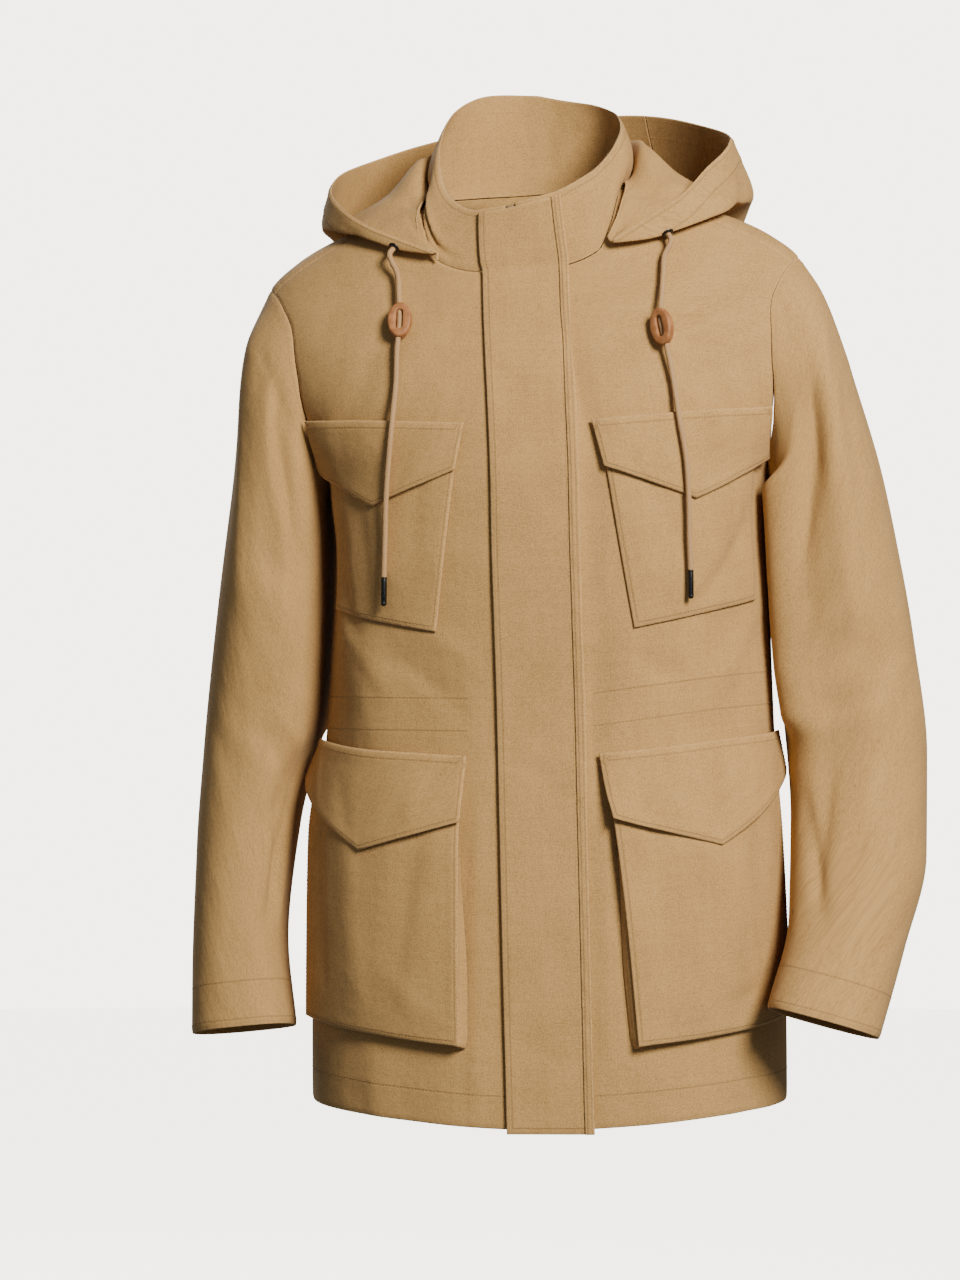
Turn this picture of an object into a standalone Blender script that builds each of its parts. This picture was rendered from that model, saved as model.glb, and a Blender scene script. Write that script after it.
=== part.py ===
"""Hooded field coat, worn: the cloth hangs in the form it takes on a standing wearer, with the hood thrown back.

Metres, +Z up. The wearer faces -Y, +X is the wearer's left. The origin is the middle of the neck at the
height of the shoulder line, where the wearer carries the coat.
Every cloth piece is a wall. Body pieces follow one torso form; what is sewn on them is lifted off that form.
"""

import math

import bmesh
import bpy
import numpy as np

# ---- driving sizes ----
CLOTH = 0.0018          # wall of the coat's canvas
SEAM_GAP = 0.0004       # between pieces at a seam
LAY_GAP = 0.0010        # under a piece that lies on another
SIDE_GAP = 0.10         # half the gap at a side seam, in degrees
ARM_GAP = 0.0007        # between the body and a sleeve
COLLAR_SEAM = 0.0006    # between the body and the collar
GUSSET_WALL = 0.0012
PANEL_MARGIN = 1.6      # a flap stops this far short of the armhole, in degrees
HEM_Z = -0.764          # hem below the shoulder line
HEM_FRONT_DROP = 0.013  # the centre front hangs this much lower
UNDERARM_Z = -0.238
SHOULDER_TIP_Z = -0.0575
ARMHOLE_FRONT = 0.069   # half depth of the armhole towards the chest
ARMHOLE_BACK = 0.076    # and towards the back
SHOULDER_SEAM = 161.0   # where the shoulder seam meets the armhole, degrees up from the underarm by the front
ZIP_GAP = 0.0045        # from centre front to each front's edge
LEAN = 0.016            # the body hangs this far to the wearer's left of the neck
TILT = 0.0525           # slope of the shoulders: the wearer's left one is higher

# ---- colours, linear ----
CANVAS = (0.43, 0.28, 0.145, 1)
CORD_TAN = (0.45, 0.29, 0.15, 1)
LEATHER = (0.33, 0.11, 0.035, 1)
GUNMETAL = (0.05, 0.05, 0.055, 1)


def table(columns, *rows):
    """A short table as one array for each named column."""
    return dict(zip(columns.split(), np.array(rows, float).T))


# Sections of the torso: half width, depth in front of and behind the neck's middle, and how square they are
TORSO = table(
    "z     width  front  back   power",
    (-0.820, 0.2040, 0.140, 0.134, 2.3),
    (-0.640, 0.2000, 0.139, 0.134, 2.3),
    (-0.520, 0.1960, 0.134, 0.120, 2.3),
    (-0.436, 0.1920, 0.130, 0.110, 2.3),
    (-0.360, 0.1890, 0.134, 0.114, 2.3),
    (-0.300, 0.1875, 0.138, 0.122, 2.3),
    (-0.238, 0.1890, 0.138, 0.128, 2.3),
    (-0.190, 0.2130, 0.132, 0.130, 2.3),
    (-0.150, 0.2320, 0.122, 0.128, 2.25),
    (-0.115, 0.2395, 0.110, 0.121, 2.2),
    (-0.085, 0.2390, 0.096, 0.110, 2.1),
    (-0.0575, 0.2285, 0.0830, 0.096, 1.95),
    (-0.035, 0.2030, 0.0795, 0.086, 1.8),
    (-0.015, 0.1630, 0.0770, 0.079, 1.7),
    (-0.004, 0.1270, 0.0755, 0.076, 1.75),
    (0.004, 0.1000, 0.0740, 0.073, 1.85),
    (0.010, 0.0840, 0.0730, 0.071, 2.0),
    (0.018, 0.0790, 0.0720, 0.070, 2.0),
)

# The neckline on that form, by angle from centre front
NECKLINE = table(
    "angle z",
    (0.0, -0.0620),
    (25.0, -0.0590),
    (41.5, -0.0480),
    (49.0, -0.0260),
    (56.0, -0.0060),
    (64.0, 0.0045),
    (74.0, 0.0100),
    (90.0, 0.0115),
    (118.0, 0.0145),
    (145.0, 0.0170),
    (180.0, 0.0180),
)
NECK_POINT = 74.0       # where the shoulder seam meets the neckline

# Where the centre front hangs: distance to the wearer's left of the body's middle
CENTRE_FRONT = table(
    "z     across",
    (-0.820, 0.0070),
    (-0.620, 0.0020),
    (-0.420, -0.0035),
    (-0.210, -0.0080),
    (-0.060, -0.0065),
    (0.010, -0.0110),
)

# Large folds of the body: a soft ridge (+) or trough (-) between two places
BODY_FOLDS = table(
    "angle0 z0    angle1 z1      height  spread",
    (-64, -0.370, -54, -0.440, 0.0045, 0.030),
    (-78, -0.290, -73, -0.420, -0.0050, 0.030),
    (66, -0.370, 60, -0.440, -0.0040, 0.030),
    (80, -0.330, 77, -0.440, 0.0030, 0.030),
    (-26, -0.730, -30, -0.800, 0.0030, 0.032),
    (36, -0.735, 39, -0.800, 0.0030, 0.032),
    (137, -0.170, 152, -0.400, -0.0055, 0.034),
    (-137, -0.170, -152, -0.400, -0.0055, 0.034),
    (115, -0.260, 125, -0.450, 0.0055, 0.032),
    (-115, -0.260, -125, -0.450, 0.0055, 0.032),
    (103, -0.300, 106, -0.480, -0.0050, 0.032),
    (-103, -0.300, -106, -0.480, -0.0050, 0.032),
    (133, -0.520, 139, -0.800, 0.0055, 0.034),
    (-131, -0.500, -137, -0.800, 0.0055, 0.034),
    (162, -0.480, 171, -0.800, -0.0045, 0.034),
)
METRES_A_DEGREE = 0.0029  # of girth, for measuring the folds

# Sleeves, ring by ring below the armhole: outer and inner edge in the front view, the ring's middle and half depth,
# and how much higher its front is than its middle
SLEEVE_RIGHT = table(
    "share outer_x outer_z inner_x inner_z mid_y  depth front_up",
    (0.07, 0.2435, -0.088, 0.1900, -0.2440, 0.002, 0.0735, 0.000),
    (0.16, 0.2580, -0.136, 0.1908, -0.2560, 0.001, 0.0765, 0.000),
    (0.28, 0.2685, -0.200, 0.1912, -0.2820, 0.001, 0.0780, 0.000),
    (0.40, 0.2805, -0.285, 0.1915, -0.3300, 0.001, 0.0760, 0.000),
    (0.52, 0.2915, -0.375, 0.1940, -0.3950, 0.002, 0.0710, 0.000),
    (0.64, 0.3000, -0.460, 0.2005, -0.4500, 0.003, 0.0660, 0.002),
    (0.76, 0.3050, -0.545, 0.2170, -0.5200, -0.004, 0.0610, 0.005),
    (0.88, 0.3060, -0.630, 0.2260, -0.6150, -0.018, 0.0565, 0.007),
    (1.00, 0.3045, -0.7080, 0.2160, -0.6990, -0.034, 0.0520, 0.007),
)
SLEEVE_LEFT = table(
    "share outer_x outer_z inner_x inner_z mid_y  depth front_up",
    (0.07, 0.2460, -0.088, 0.1900, -0.2440, 0.002, 0.0735, 0.000),
    (0.16, 0.2610, -0.136, 0.1908, -0.2560, 0.002, 0.0765, 0.000),
    (0.28, 0.2770, -0.200, 0.1912, -0.2820, 0.003, 0.0780, 0.000),
    (0.40, 0.2965, -0.290, 0.1915, -0.3300, 0.005, 0.0770, 0.000),
    (0.52, 0.3120, -0.380, 0.1945, -0.3950, 0.008, 0.0740, 0.000),
    (0.64, 0.3230, -0.475, 0.2020, -0.4550, 0.004, 0.0710, 0.004),
    (0.76, 0.3225, -0.560, 0.2075, -0.5300, -0.018, 0.0660, 0.005),
    (0.88, 0.3040, -0.635, 0.2070, -0.6080, -0.054, 0.0590, 0.007),
    (1.00, 0.2835, -0.7050, 0.1900, -0.6800, -0.093, 0.0520, 0.008),
)
# Folds of the sleeves: around is 0 at the underarm, 90 in front, 180 outside, 270 behind
FOLDS_RIGHT = table(
    "around0 share0 around1 share1 height  spread",
    (116, 0.08, 84, 0.38, -0.0050, 0.022),
    (140, 0.10, 106, 0.42, 0.0040, 0.026),
    (325, 0.24, 318, 0.60, 0.0095, 0.022),
    (66, 0.54, 95, 0.60, -0.0035, 0.022),
    (20, 0.68, 60, 0.76, -0.0045, 0.024),
    (235, 0.60, 300, 0.66, -0.0045, 0.024),
    (240, 0.72, 310, 0.62, 0.0035, 0.024),
    (250, 0.16, 280, 0.44, -0.0045, 0.026),
)
FOLDS_LEFT = table(
    "around0 share0 around1 share1 height  spread",
    (100, 0.14, 76, 0.44, -0.0065, 0.018),
    (122, 0.12, 98, 0.46, 0.0050, 0.020),
    (44, 0.17, 47, 0.61, 0.0145, 0.021),
    (100, 0.53, 78, 0.58, -0.0040, 0.022),
    (78, 0.64, 55, 0.86, -0.0045, 0.024),
    (235, 0.62, 300, 0.70, -0.0050, 0.024),
    (240, 0.74, 310, 0.64, 0.0040, 0.024),
    (250, 0.16, 280, 0.44, -0.0045, 0.026),
)
INNER_SQUARE = 2.7      # superellipse power of a sleeve's rings towards the body
OUTER_SQUARE = 2.15     # and away from it
SLEEVE_GIRTH = 0.38     # for measuring those folds
SLEEVE_LENGTH = 0.62

# The collar's top edge; its height is the mean of both sides
COLLAR_TOP = table(
    "turn radius z",
    (0, 0.0790, -0.0020),
    (22, 0.0820, -0.0005),
    (45, 0.0845, 0.0135),
    (60, 0.0830, 0.0310),
    (75, 0.0810, 0.0510),
    (90, 0.0785, 0.0655),
    (115, 0.0770, 0.0870),
    (145, 0.0755, 0.1010),
    (180, 0.0740, 0.1060),
)
COLLAR_TWIST = 0.0065    # the wearer's left is this much higher in front and lower behind
COLLAR_BULGE = 0.0075

# The hood thrown back: sections by angle round the neck from the front, each from its seam to its brim.
# left_up is how much higher the brim is on the wearer's left, and left_low how much lower its bulge
HOOD = table(
    "turn seam_up ridge_r ridge_z floor_r floor_z bulge_r bulge_z brim_r brim_z left_up left_low",
    (42, 0.0030, 0.1105, -0.0425, 0.1120, -0.0420, 0.1135, -0.0425, 0.1140, -0.0400, 0.000, 0.000),
    (54, 0.0030, 0.1085, -0.0230, 0.1155, -0.0260, 0.1270, -0.0370, 0.1265, -0.0280, 0.004, 0.003),
    (66, 0.0035, 0.1048, -0.0010, 0.1210, -0.0090, 0.1470, -0.0240, 0.1460, -0.0130, 0.009, 0.006),
    (78, 0.0040, 0.0989, 0.0235, 0.1230, 0.0090, 0.1660, -0.0140, 0.1640, 0.0065, 0.018, 0.005),
    (90, 0.0040, 0.0960, 0.0425, 0.1270, 0.0150, 0.1805, -0.0080, 0.1750, 0.0270, 0.018, 0.000),
    (103, 0.0040, 0.0942, 0.0520, 0.1380, -0.0200, 0.1880, -0.0080, 0.1765, 0.0440, 0.012, -0.005),
    (120, 0.0040, 0.0900, 0.0540, 0.1440, -0.0760, 0.1930, -0.0280, 0.1715, 0.0600, 0.011, -0.005),
    (140, 0.0040, 0.0880, 0.0430, 0.1480, -0.1180, 0.1970, -0.0500, 0.1650, 0.0770, 0.010, -0.004),
    (160, 0.0040, 0.0860, 0.0330, 0.1500, -0.1390, 0.2005, -0.0630, 0.1600, 0.0890, 0.005, -0.002),
    (180, 0.0040, 0.0850, 0.0290, 0.1500, -0.1450, 0.2010, -0.0680, 0.1580, 0.0930, 0.000, 0.000),
)
HOOD_CENTRE_HALF = 146.0  # the centre panel runs between this turn on each side
HOOD_WALL = 0.0016
HOOD_SEAM = 0.2          # half the gap at a seam, in degrees
HOOD_SEAM_OUT = 0.0045   # the hood is sewn on this far outside the collar's seam
HOOD_CLEAR = 0.0030      # least height of the hood over the shoulders, twice that on their steep front
HOOD_SOFT = 0.0050       # how softly it comes to lie on them
HOOD_SIDE_ROWS, HOOD_HALF_ROWS, HOOD_COLUMNS = 14, 4, 17

PLACKET_MIDDLE = 0.0075  # from centre front towards the wearer's left
PLACKET_HALF = 0.0363
PLACKET_TOP_UP = 0.940   # share of the collar's height that it covers
PLACKET_LOW = 0.0030     # it hangs this far below the fronts
STRIP_WIDTH = 0.0080     # the raised strip on the placket's sewn side
PLACKET_LIFT = 0.0012    # the free edge stands off the coat

# Pockets and flaps: corners as distance round from centre front and height
CHEST = dict(
    top_in=(0.058, -0.1920), top_out=(0.205, -0.1810),
    low_out=(0.205, -0.3410), low_in=(0.083, -0.3630),
)
CHEST_FLAP = dict(
    top_in=(0.053, -0.1905), top_out=(0.218, -0.1790),
    low_out=(0.227, -0.2180), low_in=(0.062, -0.2290), tip=(0.137, -0.2565),
)
CHEST_SHIFT = 0.0040     # both chest pockets sit this far to the wearer's left of an even place
LOWER = dict(
    top_in=(0.060, -0.4700), top_out=(0.236, -0.4540),
    low_out=(0.248, -0.6900), low_in=(0.072, -0.7080),
)
LOWER_FLAP = dict(
    top_in=(0.055, -0.4670), top_out=(0.238, -0.4520),
    low_out=(0.250, -0.4870), low_in=(0.061, -0.5210), tip=(0.150, -0.5450),
)
LOWER_SKEW = 0.0080      # the lower pockets hang over this far to the wearer's left at their bottom
CHEST_PUFF = 0.0030
LOWER_PUFF = 0.0060
EDGE_RISE = 0.0100       # how far the lower pocket's inner edge stands off the coat
OUTER_RISE = dict(left=0.0015, right=0.0065)

# Eyelets: turn round the neck, and share of the way from the hood's seam to its brim
EYELET_TURN = dict(left=59.5, right=57.0)
EYELET_UP = dict(left=0.735, right=0.795)
EYELET_HOLE = 0.0026
EYELET_OUT = 0.0054
EYELET_HIGH = 0.0014
EYELET_SEAT = 0.0001     # its base over the hood: 0.3 mm above the facets there
CORD_START = 0.0004      # the cord's end, above the cloth in its eyelet
CORD_OUT = 0.0065        # how far it runs straight out

# Hood cord: from its eyelet down over the front, x and z in the front view and its distance off the cloth
CORD_DIAMETER = 0.0045
CORD_RIGHT = table(
    "x       z       off",
    (-0.1066, -0.0600, 0.0075),
    (-0.1058, -0.0800, 0.0072),
    (-0.1055, -0.1024, 0.0075),
    (-0.1090, -0.1240, 0.0062),
    (-0.1120, -0.1550, 0.0055),
    (-0.1152, -0.1870, 0.0095),
    (-0.1177, -0.2200, 0.0125),
    (-0.1202, -0.2535, 0.0125),
    (-0.1217, -0.2820, 0.0110),
    (-0.1227, -0.3095, 0.0105),
    (-0.1236, -0.3430, 0.0105),
)
CORD_LEFT = table(
    "x       z       off",
    (0.1160, -0.0580, 0.0075),
    (0.1145, -0.0740, 0.0075),
    (0.1120, -0.0940, 0.0098),
    (0.1095, -0.1142, 0.0118),
    (0.1130, -0.1350, 0.0095),
    (0.1164, -0.1600, 0.0065),
    (0.1178, -0.1920, 0.0100),
    (0.1196, -0.2250, 0.0125),
    (0.1207, -0.2585, 0.0125),
    (0.1216, -0.2880, 0.0110),
    (0.1228, -0.3150, 0.0105),
    (0.1230, -0.3430, 0.0105),
)
TIP_LENGTH = 0.024
TOGGLE_Z = dict(left=-0.1075, right=-0.1065)
TOGGLE_HALF_WIDTH = 0.0102
TOGGLE_HALF_HEIGHT = 0.0162
TOGGLE_HALF_DEPTH = 0.0046
TOGGLE_SLOT = (0.0026, 0.0088)
TOGGLE_TURN = dict(left=-0.60, right=-0.05)  # sideways share of the way each one faces


# ---- curves and forms ----
def smooth(x, xs, ys):
    """A monotone cubic through the points of a table, held at its end values."""
    x = np.clip(x, xs[0], xs[-1])
    step, slope = np.diff(xs), np.diff(ys) / np.diff(xs)
    tangent = np.concatenate([slope[:1], (slope[1:] + slope[:-1]) / 2, slope[-1:]])
    turning = slope[1:] * slope[:-1] <= 0
    near, far = 2 * step[1:] + step[:-1], step[1:] + 2 * step[:-1]
    safe = np.where(turning[:, None], 1.0, np.stack([slope[:-1], slope[1:]], 1))
    harmonic = (near + far) / (near / safe[:, 0] + far / safe[:, 1])
    tangent[1:-1] = np.where(turning, 0.0, harmonic)
    i = np.clip(np.searchsorted(xs, x, "right") - 1, 0, len(step) - 1)
    t = (x - xs[i]) / step[i]
    return (
        ys[i] * (1 + 2 * t) * (1 - t) ** 2
        + ys[i + 1] * t * t * (3 - 2 * t)
        + step[i] * t * (1 - t) * (tangent[i] * (1 - t) - tangent[i + 1] * t)
    )


def rounded(x, xs, ys):
    """A cubic through the points that may swell between them, for round turns."""
    slope = np.gradient(ys, xs)
    i = np.clip(np.searchsorted(xs, x, "right") - 1, 0, len(xs) - 2)
    step = xs[i + 1] - xs[i]
    t = (x - xs[i]) / step
    return (
        ys[i] * (1 + 2 * t) * (1 - t) ** 2
        + ys[i + 1] * t * t * (3 - 2 * t)
        + step * t * (1 - t) * (slope[i] * (1 - t) - slope[i + 1] * t)
    )


def ease(t):
    t = np.clip(t, 0, 1)
    return t * t * (3 - 2 * t)


def folds_at(u, v, folds, names, u_scale, v_scale):
    """The sum of the table's folds at (u, v): each falls off with the distance from its line."""
    total = np.zeros(np.broadcast(u, v).shape)
    u0s, v0s, u1s, v1s = (folds[name] for name in names)
    for u0, v0, u1, v1, height, spread in zip(u0s, v0s, u1s, v1s, folds["height"], folds["spread"]):
        du, dv = (u1 - u0) * u_scale, (v1 - v0) * v_scale
        pu, pv = (u - u0) * u_scale, (v - v0) * v_scale
        along = np.clip((pu * du + pv * dv) / (du * du + dv * dv), 0, 1)
        away = (pu - along * du) ** 2 + (pv - along * dv) ** 2
        total += height * np.exp(-away / spread**2)
    return total


def posed(p):
    """Leans the body and tilts the shoulders, as the wearer stands."""
    x, y, z = p[..., 0], p[..., 1], p[..., 2]
    lean = LEAN * ease(-z / 0.25)
    tilt = 0.10 + 0.32 * ease((z + 0.76) / 0.25) + 0.58 * ease((z + 0.20) / 0.14)
    return np.stack([x + lean, y, z + TILT * x * tilt], -1)


def slid(angle, z):
    """The angle at which a point of the front hangs, as the centre front is off the body's middle."""
    off = smooth(z, CENTRE_FRONT["z"], CENTRE_FRONT["across"]) / smooth(z, TORSO["z"], TORSO["front"])
    return angle + np.degrees(off) * np.clip(np.cos(np.radians(angle)), 0, 1) ** 2


def torso_form(angle, z):
    """The coat's outer face before posing. angle is in degrees from centre front, + to the wearer's left."""
    angle, z = np.broadcast_arrays(np.asarray(angle, float), np.asarray(z, float))
    width, power = smooth(z, TORSO["z"], TORSO["width"]), smooth(z, TORSO["z"], TORSO["power"])
    turn = np.radians(slid(angle, z))
    s, c = np.sin(turn), np.cos(turn)
    deep = np.where(c > 0, smooth(z, TORSO["z"], TORSO["front"]), smooth(z, TORSO["z"], TORSO["back"]))
    across, along = np.abs(s) / width, np.abs(c) / deep
    reach = (across**power + along**power) ** (-1 / power)
    out_x = np.sign(s) * across ** (power - 1) / width
    out_y = -np.sign(c) * along ** (power - 1) / deep
    size = np.hypot(out_x, out_y)
    near = np.where(angle > 180, angle - 360, angle)
    ends = ("angle0", "z0", "angle1", "z1")
    fold = sum(folds_at(near + k, z, BODY_FOLDS, ends, METRES_A_DEGREE, 1.0) for k in (-360, 0, 360))
    return np.stack([reach * s + fold * out_x / size, -reach * c + fold * out_y / size, z], -1)


def torso(angle, z, lift=0.0):
    """The posed outer face, moved out by lift along its normal."""
    angle, z = np.broadcast_arrays(np.asarray(angle, float), np.asarray(z, float))
    p = posed(torso_form(angle, z))
    if np.ndim(lift) == 0 and lift == 0:
        return p
    turn, rise = 0.6, 0.0015
    along = posed(torso_form(angle + turn, z)) - posed(torso_form(angle - turn, z))
    up = posed(torso_form(angle, z + rise)) - posed(torso_form(angle, z - rise))
    normal = np.cross(along, up)
    normal /= np.linalg.norm(normal, axis=-1, keepdims=True)
    return p + normal * np.asarray(lift)[..., None]


def angle_at(girth, z):
    """The angle that lies this far round from centre front at height z, + to the wearer's left."""
    girth, z = np.broadcast_arrays(np.asarray(girth, float), np.asarray(z, float))
    turns = np.linspace(-120, 120, 161)
    found = np.empty(girth.shape)
    for i in np.ndindex(girth.shape):
        ring = torso_form(turns, z[i])
        run = np.concatenate([[0], np.cumsum(np.linalg.norm(np.diff(ring, axis=0), axis=1))])
        found[i] = np.interp(girth[i], run - run[80], turns)
    return found


def armhole(around):
    """(angle, z) of the armhole's edge. around is 0 at the underarm, 90 in front, 180 on the shoulder, 270 behind."""
    a = np.radians(np.asarray(around, float))
    middle, half = (UNDERARM_Z + SHOULDER_TIP_Z) / 2, (SHOULDER_TIP_Z - UNDERARM_Z) / 2
    z = middle - half * np.cos(a)
    width, power = smooth(z, TORSO["z"], TORSO["width"]), smooth(z, TORSO["z"], TORSO["power"])
    front = np.sin(a) > 0
    deep = np.where(front, smooth(z, TORSO["z"], TORSO["front"]), smooth(z, TORSO["z"], TORSO["back"]))
    reach = np.abs(np.sin(a)) * np.where(front, ARMHOLE_FRONT, ARMHOLE_BACK)
    out = width * (1 - np.clip(reach / deep, 0, 1) ** power) ** (1 / power)
    return np.degrees(np.arctan2(out, np.where(front, reach, -reach))), z


def neck_height(angle):
    return smooth(np.abs(angle), NECKLINE["angle"], NECKLINE["z"])


# ---- solids ----
def material(name, colour, roughness, metallic=0.0):
    made = bpy.data.materials.get(name) or bpy.data.materials.new(name)
    made.use_nodes = True
    shader = made.node_tree.nodes["Principled BSDF"]
    shader.inputs["Base Color"].default_value = colour
    shader.inputs["Roughness"].default_value = roughness
    shader.inputs["Metallic"].default_value = metallic
    return made


def add_object(name, mesh, made_of):
    made = bpy.data.objects.new(name, mesh)
    bpy.context.scene.collection.objects.link(made)
    mesh.materials.append(made_of)
    return made


def grid_faces(rows, columns):
    """Quads of a grid of points, row by row."""
    for r in range(rows - 1):
        for c in range(columns - 1):
            yield (r * columns + c, r * columns + c + 1, (r + 1) * columns + c + 1, (r + 1) * columns + c)


def ring_faces(rows, columns):
    """Quads between rings of points, each ring closed on itself."""
    for r in range(rows - 1):
        for c in range(columns):
            d = (c + 1) % columns
            yield (r * columns + c, r * columns + d, (r + 1) * columns + d, (r + 1) * columns + c)


def ringed(grid):
    """Closes a grid on itself: its first column comes again at its end."""
    return np.concatenate([grid, grid[:, :1]], axis=1)


def sheet(name, outer, inner, made_of=None):
    """A wall of cloth between two lists of grids of points, whose outer quads face outwards.
    Points that grids share are made one, and every open edge gets its rim."""
    points = np.concatenate([grid.reshape(-1, 3) for grid in outer])
    _, first, same = np.unique(np.round(points, 8), axis=0, return_index=True, return_inverse=True)
    same, count = same.ravel(), len(first)
    front, start = [], 0
    for grid in outer:
        rows, columns = grid.shape[:2]
        front += [tuple(int(same[start + i]) for i in quad) for quad in grid_faces(rows, columns)]
        start += rows * columns
    edges = {(face[k - 1], face[k]): True for face in front for k in range(4)}
    rim = [(b, a, a + count, b + count) for a, b in edges if (b, a) not in edges]
    behind = [tuple(i + count for i in face)[::-1] for face in front]
    inner = np.concatenate([grid.reshape(-1, 3) for grid in inner])
    mesh = bpy.data.meshes.new(name)
    mesh.from_pydata(np.concatenate([points[first], inner[first]]).tolist(), [], front + behind + rim)
    mesh.shade_smooth()
    mesh.set_sharp_from_angle(angle=math.radians(50))
    return add_object(name, mesh, made_of or CANVAS_CLOTH)


def on_body(name, grids, lift=0.0, wall=CLOTH, made_of=None):
    """A wall of cloth that follows the body in (angle, z) grids, its outer face lifted off it."""
    outer = [torso(angle, z, lift) for angle, z in grids]
    inner = [torso(angle, z, np.asarray(lift) - wall) for angle, z in grids]
    return sheet(name, outer, inner, made_of)


def mirrored(grid):
    """The same piece on the wearer's right: its columns turn round so that they still face outwards."""
    angle, z = grid
    return -angle[:, ::-1], z[:, ::-1]


def grid_normals(points, closed=False):
    """Unit normals of a grid, to the side that its quads face."""
    if closed:
        along = np.roll(points, -1, axis=1) - np.roll(points, 1, axis=1)
    else:
        along = np.gradient(points, axis=1)
    up = np.gradient(points, axis=0)
    normal = np.cross(along, up)
    return normal / np.maximum(np.linalg.norm(normal, axis=-1, keepdims=True), 1e-12)


# ---- body panels ----
ROWS_SKIRT, ROWS_CHEST, ROWS_SHOULDER = 12, 5, 7
COLUMNS = np.array([0, 0.13, 0.25, 0.37, 0.47, 0.56, 0.64, 0.72, 0.80, 0.87, 0.94, 1])  # shares of a panel's width
SHOULDER_GAP = 0.55     # at the shoulder seam, in degrees


def side_edge(around_end, front):
    """(angles, heights) up the side seam and round the armhole to the shoulder seam."""
    up = np.linspace(HEM_Z, UNDERARM_Z, ROWS_SKIRT + 1)
    start, middle = (0.0, 92.0) if front else (360.0, 268.0)
    low = np.linspace(start, middle, ROWS_CHEST + 1)[1:]
    high = np.linspace(middle, around_end, ROWS_SHOULDER + 1)[1:]
    angle, z = armhole(np.concatenate([low, high]))
    side = 90.0 - SIDE_GAP if front else 90.0 + SIDE_GAP
    return np.concatenate([np.full(len(up), side), angle]), np.concatenate([up, z])


def centre_edge(gap, top_z, neck_end):
    """(angles, heights) up the centre line and then along the neckline, in step with side_edge."""
    up = np.concatenate([
        np.linspace(HEM_Z, top_z - 0.16, ROWS_SKIRT + 1),
        np.linspace(top_z - 0.16, top_z, ROWS_CHEST + 1)[1:],
    ])
    angle = np.degrees(gap / smooth(up, TORSO["z"], TORSO["front"]))
    if neck_end > NECK_POINT:
        angle = np.full(len(up), 180.0)
    neck = np.linspace(angle[-1], neck_end, ROWS_SHOULDER + 1)[1:]
    return np.concatenate([angle, neck]), np.concatenate([up, neck_height(neck)])


def ruled(first, last, shares):
    """Rows of (angle, z) from the first edge to the last, straight in angle and height."""
    angle = first[0][:, None] + (last[0] - first[0])[:, None] * shares
    z = first[1][:, None] + (last[1] - first[1])[:, None] * shares
    return angle, z


def hem_shape(angle, z):
    """Lets the front of the hem hang lower than its sides."""
    drop = HEM_FRONT_DROP * np.cos(np.radians(np.clip(np.abs(angle), 0, 90))) ** 2
    return z - drop * ease((-0.45 - z) / 0.31)


def neck_turns():
    """The neckline's corners from centre front to centre back, shared by the body and the collar."""
    start = math.degrees(ZIP_GAP / 0.0830)
    front = np.linspace(start, NECK_POINT, ROWS_SHOULDER + 1)
    back = np.linspace(NECK_POINT + SHOULDER_GAP, 180.0, ROWS_SHOULDER + 1)
    return np.concatenate([front[:-1], back])


def arm_turns():
    """The armhole's corners all round, shared by the body and the sleeves."""
    front = np.concatenate([
        np.linspace(0, 92, ROWS_CHEST + 1)[:-1], np.linspace(92, SHOULDER_SEAM, ROWS_SHOULDER + 1)[:-1],
    ])
    back = np.concatenate([
        np.linspace(SHOULDER_SEAM + SHOULDER_GAP, 268, ROWS_SHOULDER + 1)[:-1], np.linspace(268, 360, ROWS_CHEST + 1)[:-1],
    ])
    return np.concatenate([front, back])


def make_body():
    angle, z = ruled(centre_edge(ZIP_GAP, NECKLINE["z"][0], NECK_POINT), side_edge(SHOULDER_SEAM, True), COLUMNS)
    left = angle, hem_shape(angle, z)
    on_body("front_left", [left])
    on_body("front_right", [mirrored(left)])
    neck_end, arm_end = NECK_POINT + SHOULDER_GAP, SHOULDER_SEAM + SHOULDER_GAP
    angle, z = ruled(centre_edge(0, NECKLINE["z"][-1], neck_end), side_edge(arm_end, False), COLUMNS)
    on_body("back", [(angle[:, ::-1], z[:, ::-1]), (360 - angle, z)])


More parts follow.
